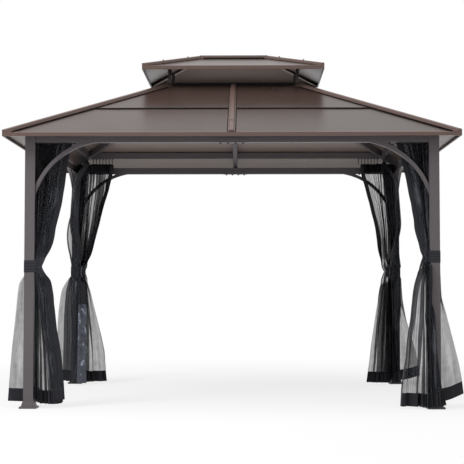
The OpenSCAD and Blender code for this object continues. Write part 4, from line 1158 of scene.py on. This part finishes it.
def head_unit(washer, head, thick, high):
    """Round washer and hexagon head: rows from the pole below to the pole above, radius by row and angle."""
    turn = np.linspace(0, 2 * np.pi, HEAD_COLS, endpoint=False)
    hexagon = math.cos(math.pi / 6) / np.cos((turn + math.pi / 6) % (math.pi / 3) - math.pi / 6)
    rows = [(0, 0, 0), (washer, 0, 0), (washer, thick * 0.7, 0), (washer * 0.9, thick, 0), (head, thick, 1),
            (head, high * 0.85, 1), (head * 0.86, high, 1), (0, high, 0)]
    radius, height, is_hex = (np.array(column)[:, None] for column in zip(*rows))
    radius = radius * np.where(is_hex == 1, hexagon[None], 1.0)
    return np.stack(np.broadcast_arrays(radius * np.cos(turn), radius * np.sin(turn), height), axis=-1)


print("a head has", HEAD_COLS, "columns")

# %% Screws on the roof
SEAT = 0.0004  # how far a head sinks in
CAP_RISE, UPPER_CAP_RISE, BATTEN_RISE = 0.024, 0.028, 0.020
UPPER_SCREWS, BATTEN_SCREWS = (0.259, 0.560), (0.264, 0.952)
RIDGE_SCREW_IN, RIDGE_SCREW_DROP = 0.02, 0.009
places = []
for signs in CORNERS:
    axes = hip_frame(signs, UPPER_HIP_PITCH)
    corner = np.array([signs[0] * UPPER_X, signs[1] * UPPER_Y, UPPER_EAVE_Z])
    places += [(corner + axes[0] * s + axes[2] * (CAP_RISE - SEAT), axes) for s in UPPER_SCREWS]
for axes, eave, _ in SLOPES:
    places += [(eave + axes[1] * s + axes[2] * (BATTEN_RISE - SEAT), axes) for s in BATTEN_SCREWS]
ridge_top = RIDGE_Z + UPPER_CAP_RISE - RIDGE_SCREW_DROP
places += [(np.array([side * (RIDGE_X - RIDGE_SCREW_IN), 0, ridge_top]), np.eye(3)) for side in (-1, 1)]
origins, frames = (np.array(column) for column in zip(*places))
lay_down("roof_screws", head_unit(washer=0.0085, head=0.0058, thick=0.002, high=0.0085), origins, frames,
         screw_coat)

# %% Bolts under the beams
DOWN = np.array([[1, 0, 0], [0, -1, 0], [0, 0, -1.0]])
SPLICE_BOLTS, SPLICE_Z, BRACE_BOLT = (-0.09, -0.03, 0.03, 0.09), 2.1106, 0.354
BEAM_Y, BEAM_X = 1.312, 1.617
under = []
for side in (-1, 1):
    under += [(s, side * BEAM_Y, SPLICE_Z) for s in SPLICE_BOLTS]
    under += [(side * BEAM_X, s, SPLICE_Z) for s in SPLICE_BOLTS]
    for other in (-1, 1):
        under += [(other * (POST_MID[0] - BRACE_BOLT), side * BEAM_Y, BEAM_Z),
                  (other * BEAM_X, side * (POST_MID[1] - BRACE_BOLT), BEAM_Z)]
origins = np.array(under) + np.array([0, 0, SEAT])
lay_down("beam_bolts", head_unit(washer=0.0105, head=0.0075, thick=0.0025, high=0.0105), origins,
         np.broadcast_to(DOWN, (len(origins), 3, 3)), bolt_steel)

# %% [markdown]
# ## Hooks
# Each net hangs from seven moulded nylon hooks: a flat glider in the rail, a thin
# stem and a curl through the top of the net. It is one round section carried
# along a path that runs down and turns up again, and its radius is large in the
# glider and small below.

# %% A hook
HOOK_COLS = 8
HOOK_DROP, HOOK_CURL, HOOK_WIRE = 0.0560, 0.0090, 0.0036
CURL_FROM, CURL_TO, CURL_ROWS = 30, 210, 7  # degrees of the half circle, and its rows


def hook_unit():
    """Path: straight down for the glider and stem, then a half circle of radius curl back up; the
    radius of the section is a table along it."""
    rows = [(0, 0), (0, 0.0100), (0.0050, 0.0100), (0.0060, 0.0090), (0.0066, HOOK_WIRE), (0.020, HOOK_WIRE),
            (HOOK_DROP - HOOK_CURL, HOOK_WIRE)]
    down, thick = (np.array(column) for column in zip(*rows))
    arc = np.radians(np.linspace(CURL_FROM, CURL_TO, CURL_ROWS))
    x = np.concatenate([np.zeros(len(rows)), HOOK_CURL * (1 - np.cos(arc))])
    z = np.concatenate([-down, -(HOOK_DROP - HOOK_CURL) - HOOK_CURL * np.sin(arc)])
    lean = np.concatenate([np.zeros(len(rows)), arc])[:, None]
    radius = np.concatenate([thick, np.full(CURL_ROWS - 1, HOOK_WIRE), [0.0]])[:, None]
    turn = np.linspace(0, 2 * np.pi, HOOK_COLS, endpoint=False)
    side = radius * np.cos(turn)
    return np.stack([x[:, None] + side * np.cos(lean), radius * np.sin(turn),
                     z[:, None] + side * np.sin(lean)], axis=-1)


print("a hook is", round(float(np.ptp(hook_unit()[..., 2])), 4), "m high")

# %% Net hooks
HOOKS, RAIL_Z = 7, 2.2545
spots = HOOK_FIRST + HOOK_STEP * np.arange(HOOKS)
line = np.stack([spots, np.full(HOOKS, RAIL_IN), np.full(HOOKS, RAIL_Z - SEAT)], axis=-1)
origins = np.concatenate([into_corner(line, along_y, signs)
                          for signs in CORNERS for along_y in (False, True)])
ACROSS = np.array([[0, 1, 0], [-1, 0, 0], [0, 0, 1.0]])
facing = np.where((np.arange(len(origins)) // HOOKS % 2 == 0)[:, None, None], ACROSS, np.eye(3))
hooks = lay_down("nylon_hooks", hook_unit(), origins, facing, nylon)
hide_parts("net_hooks")
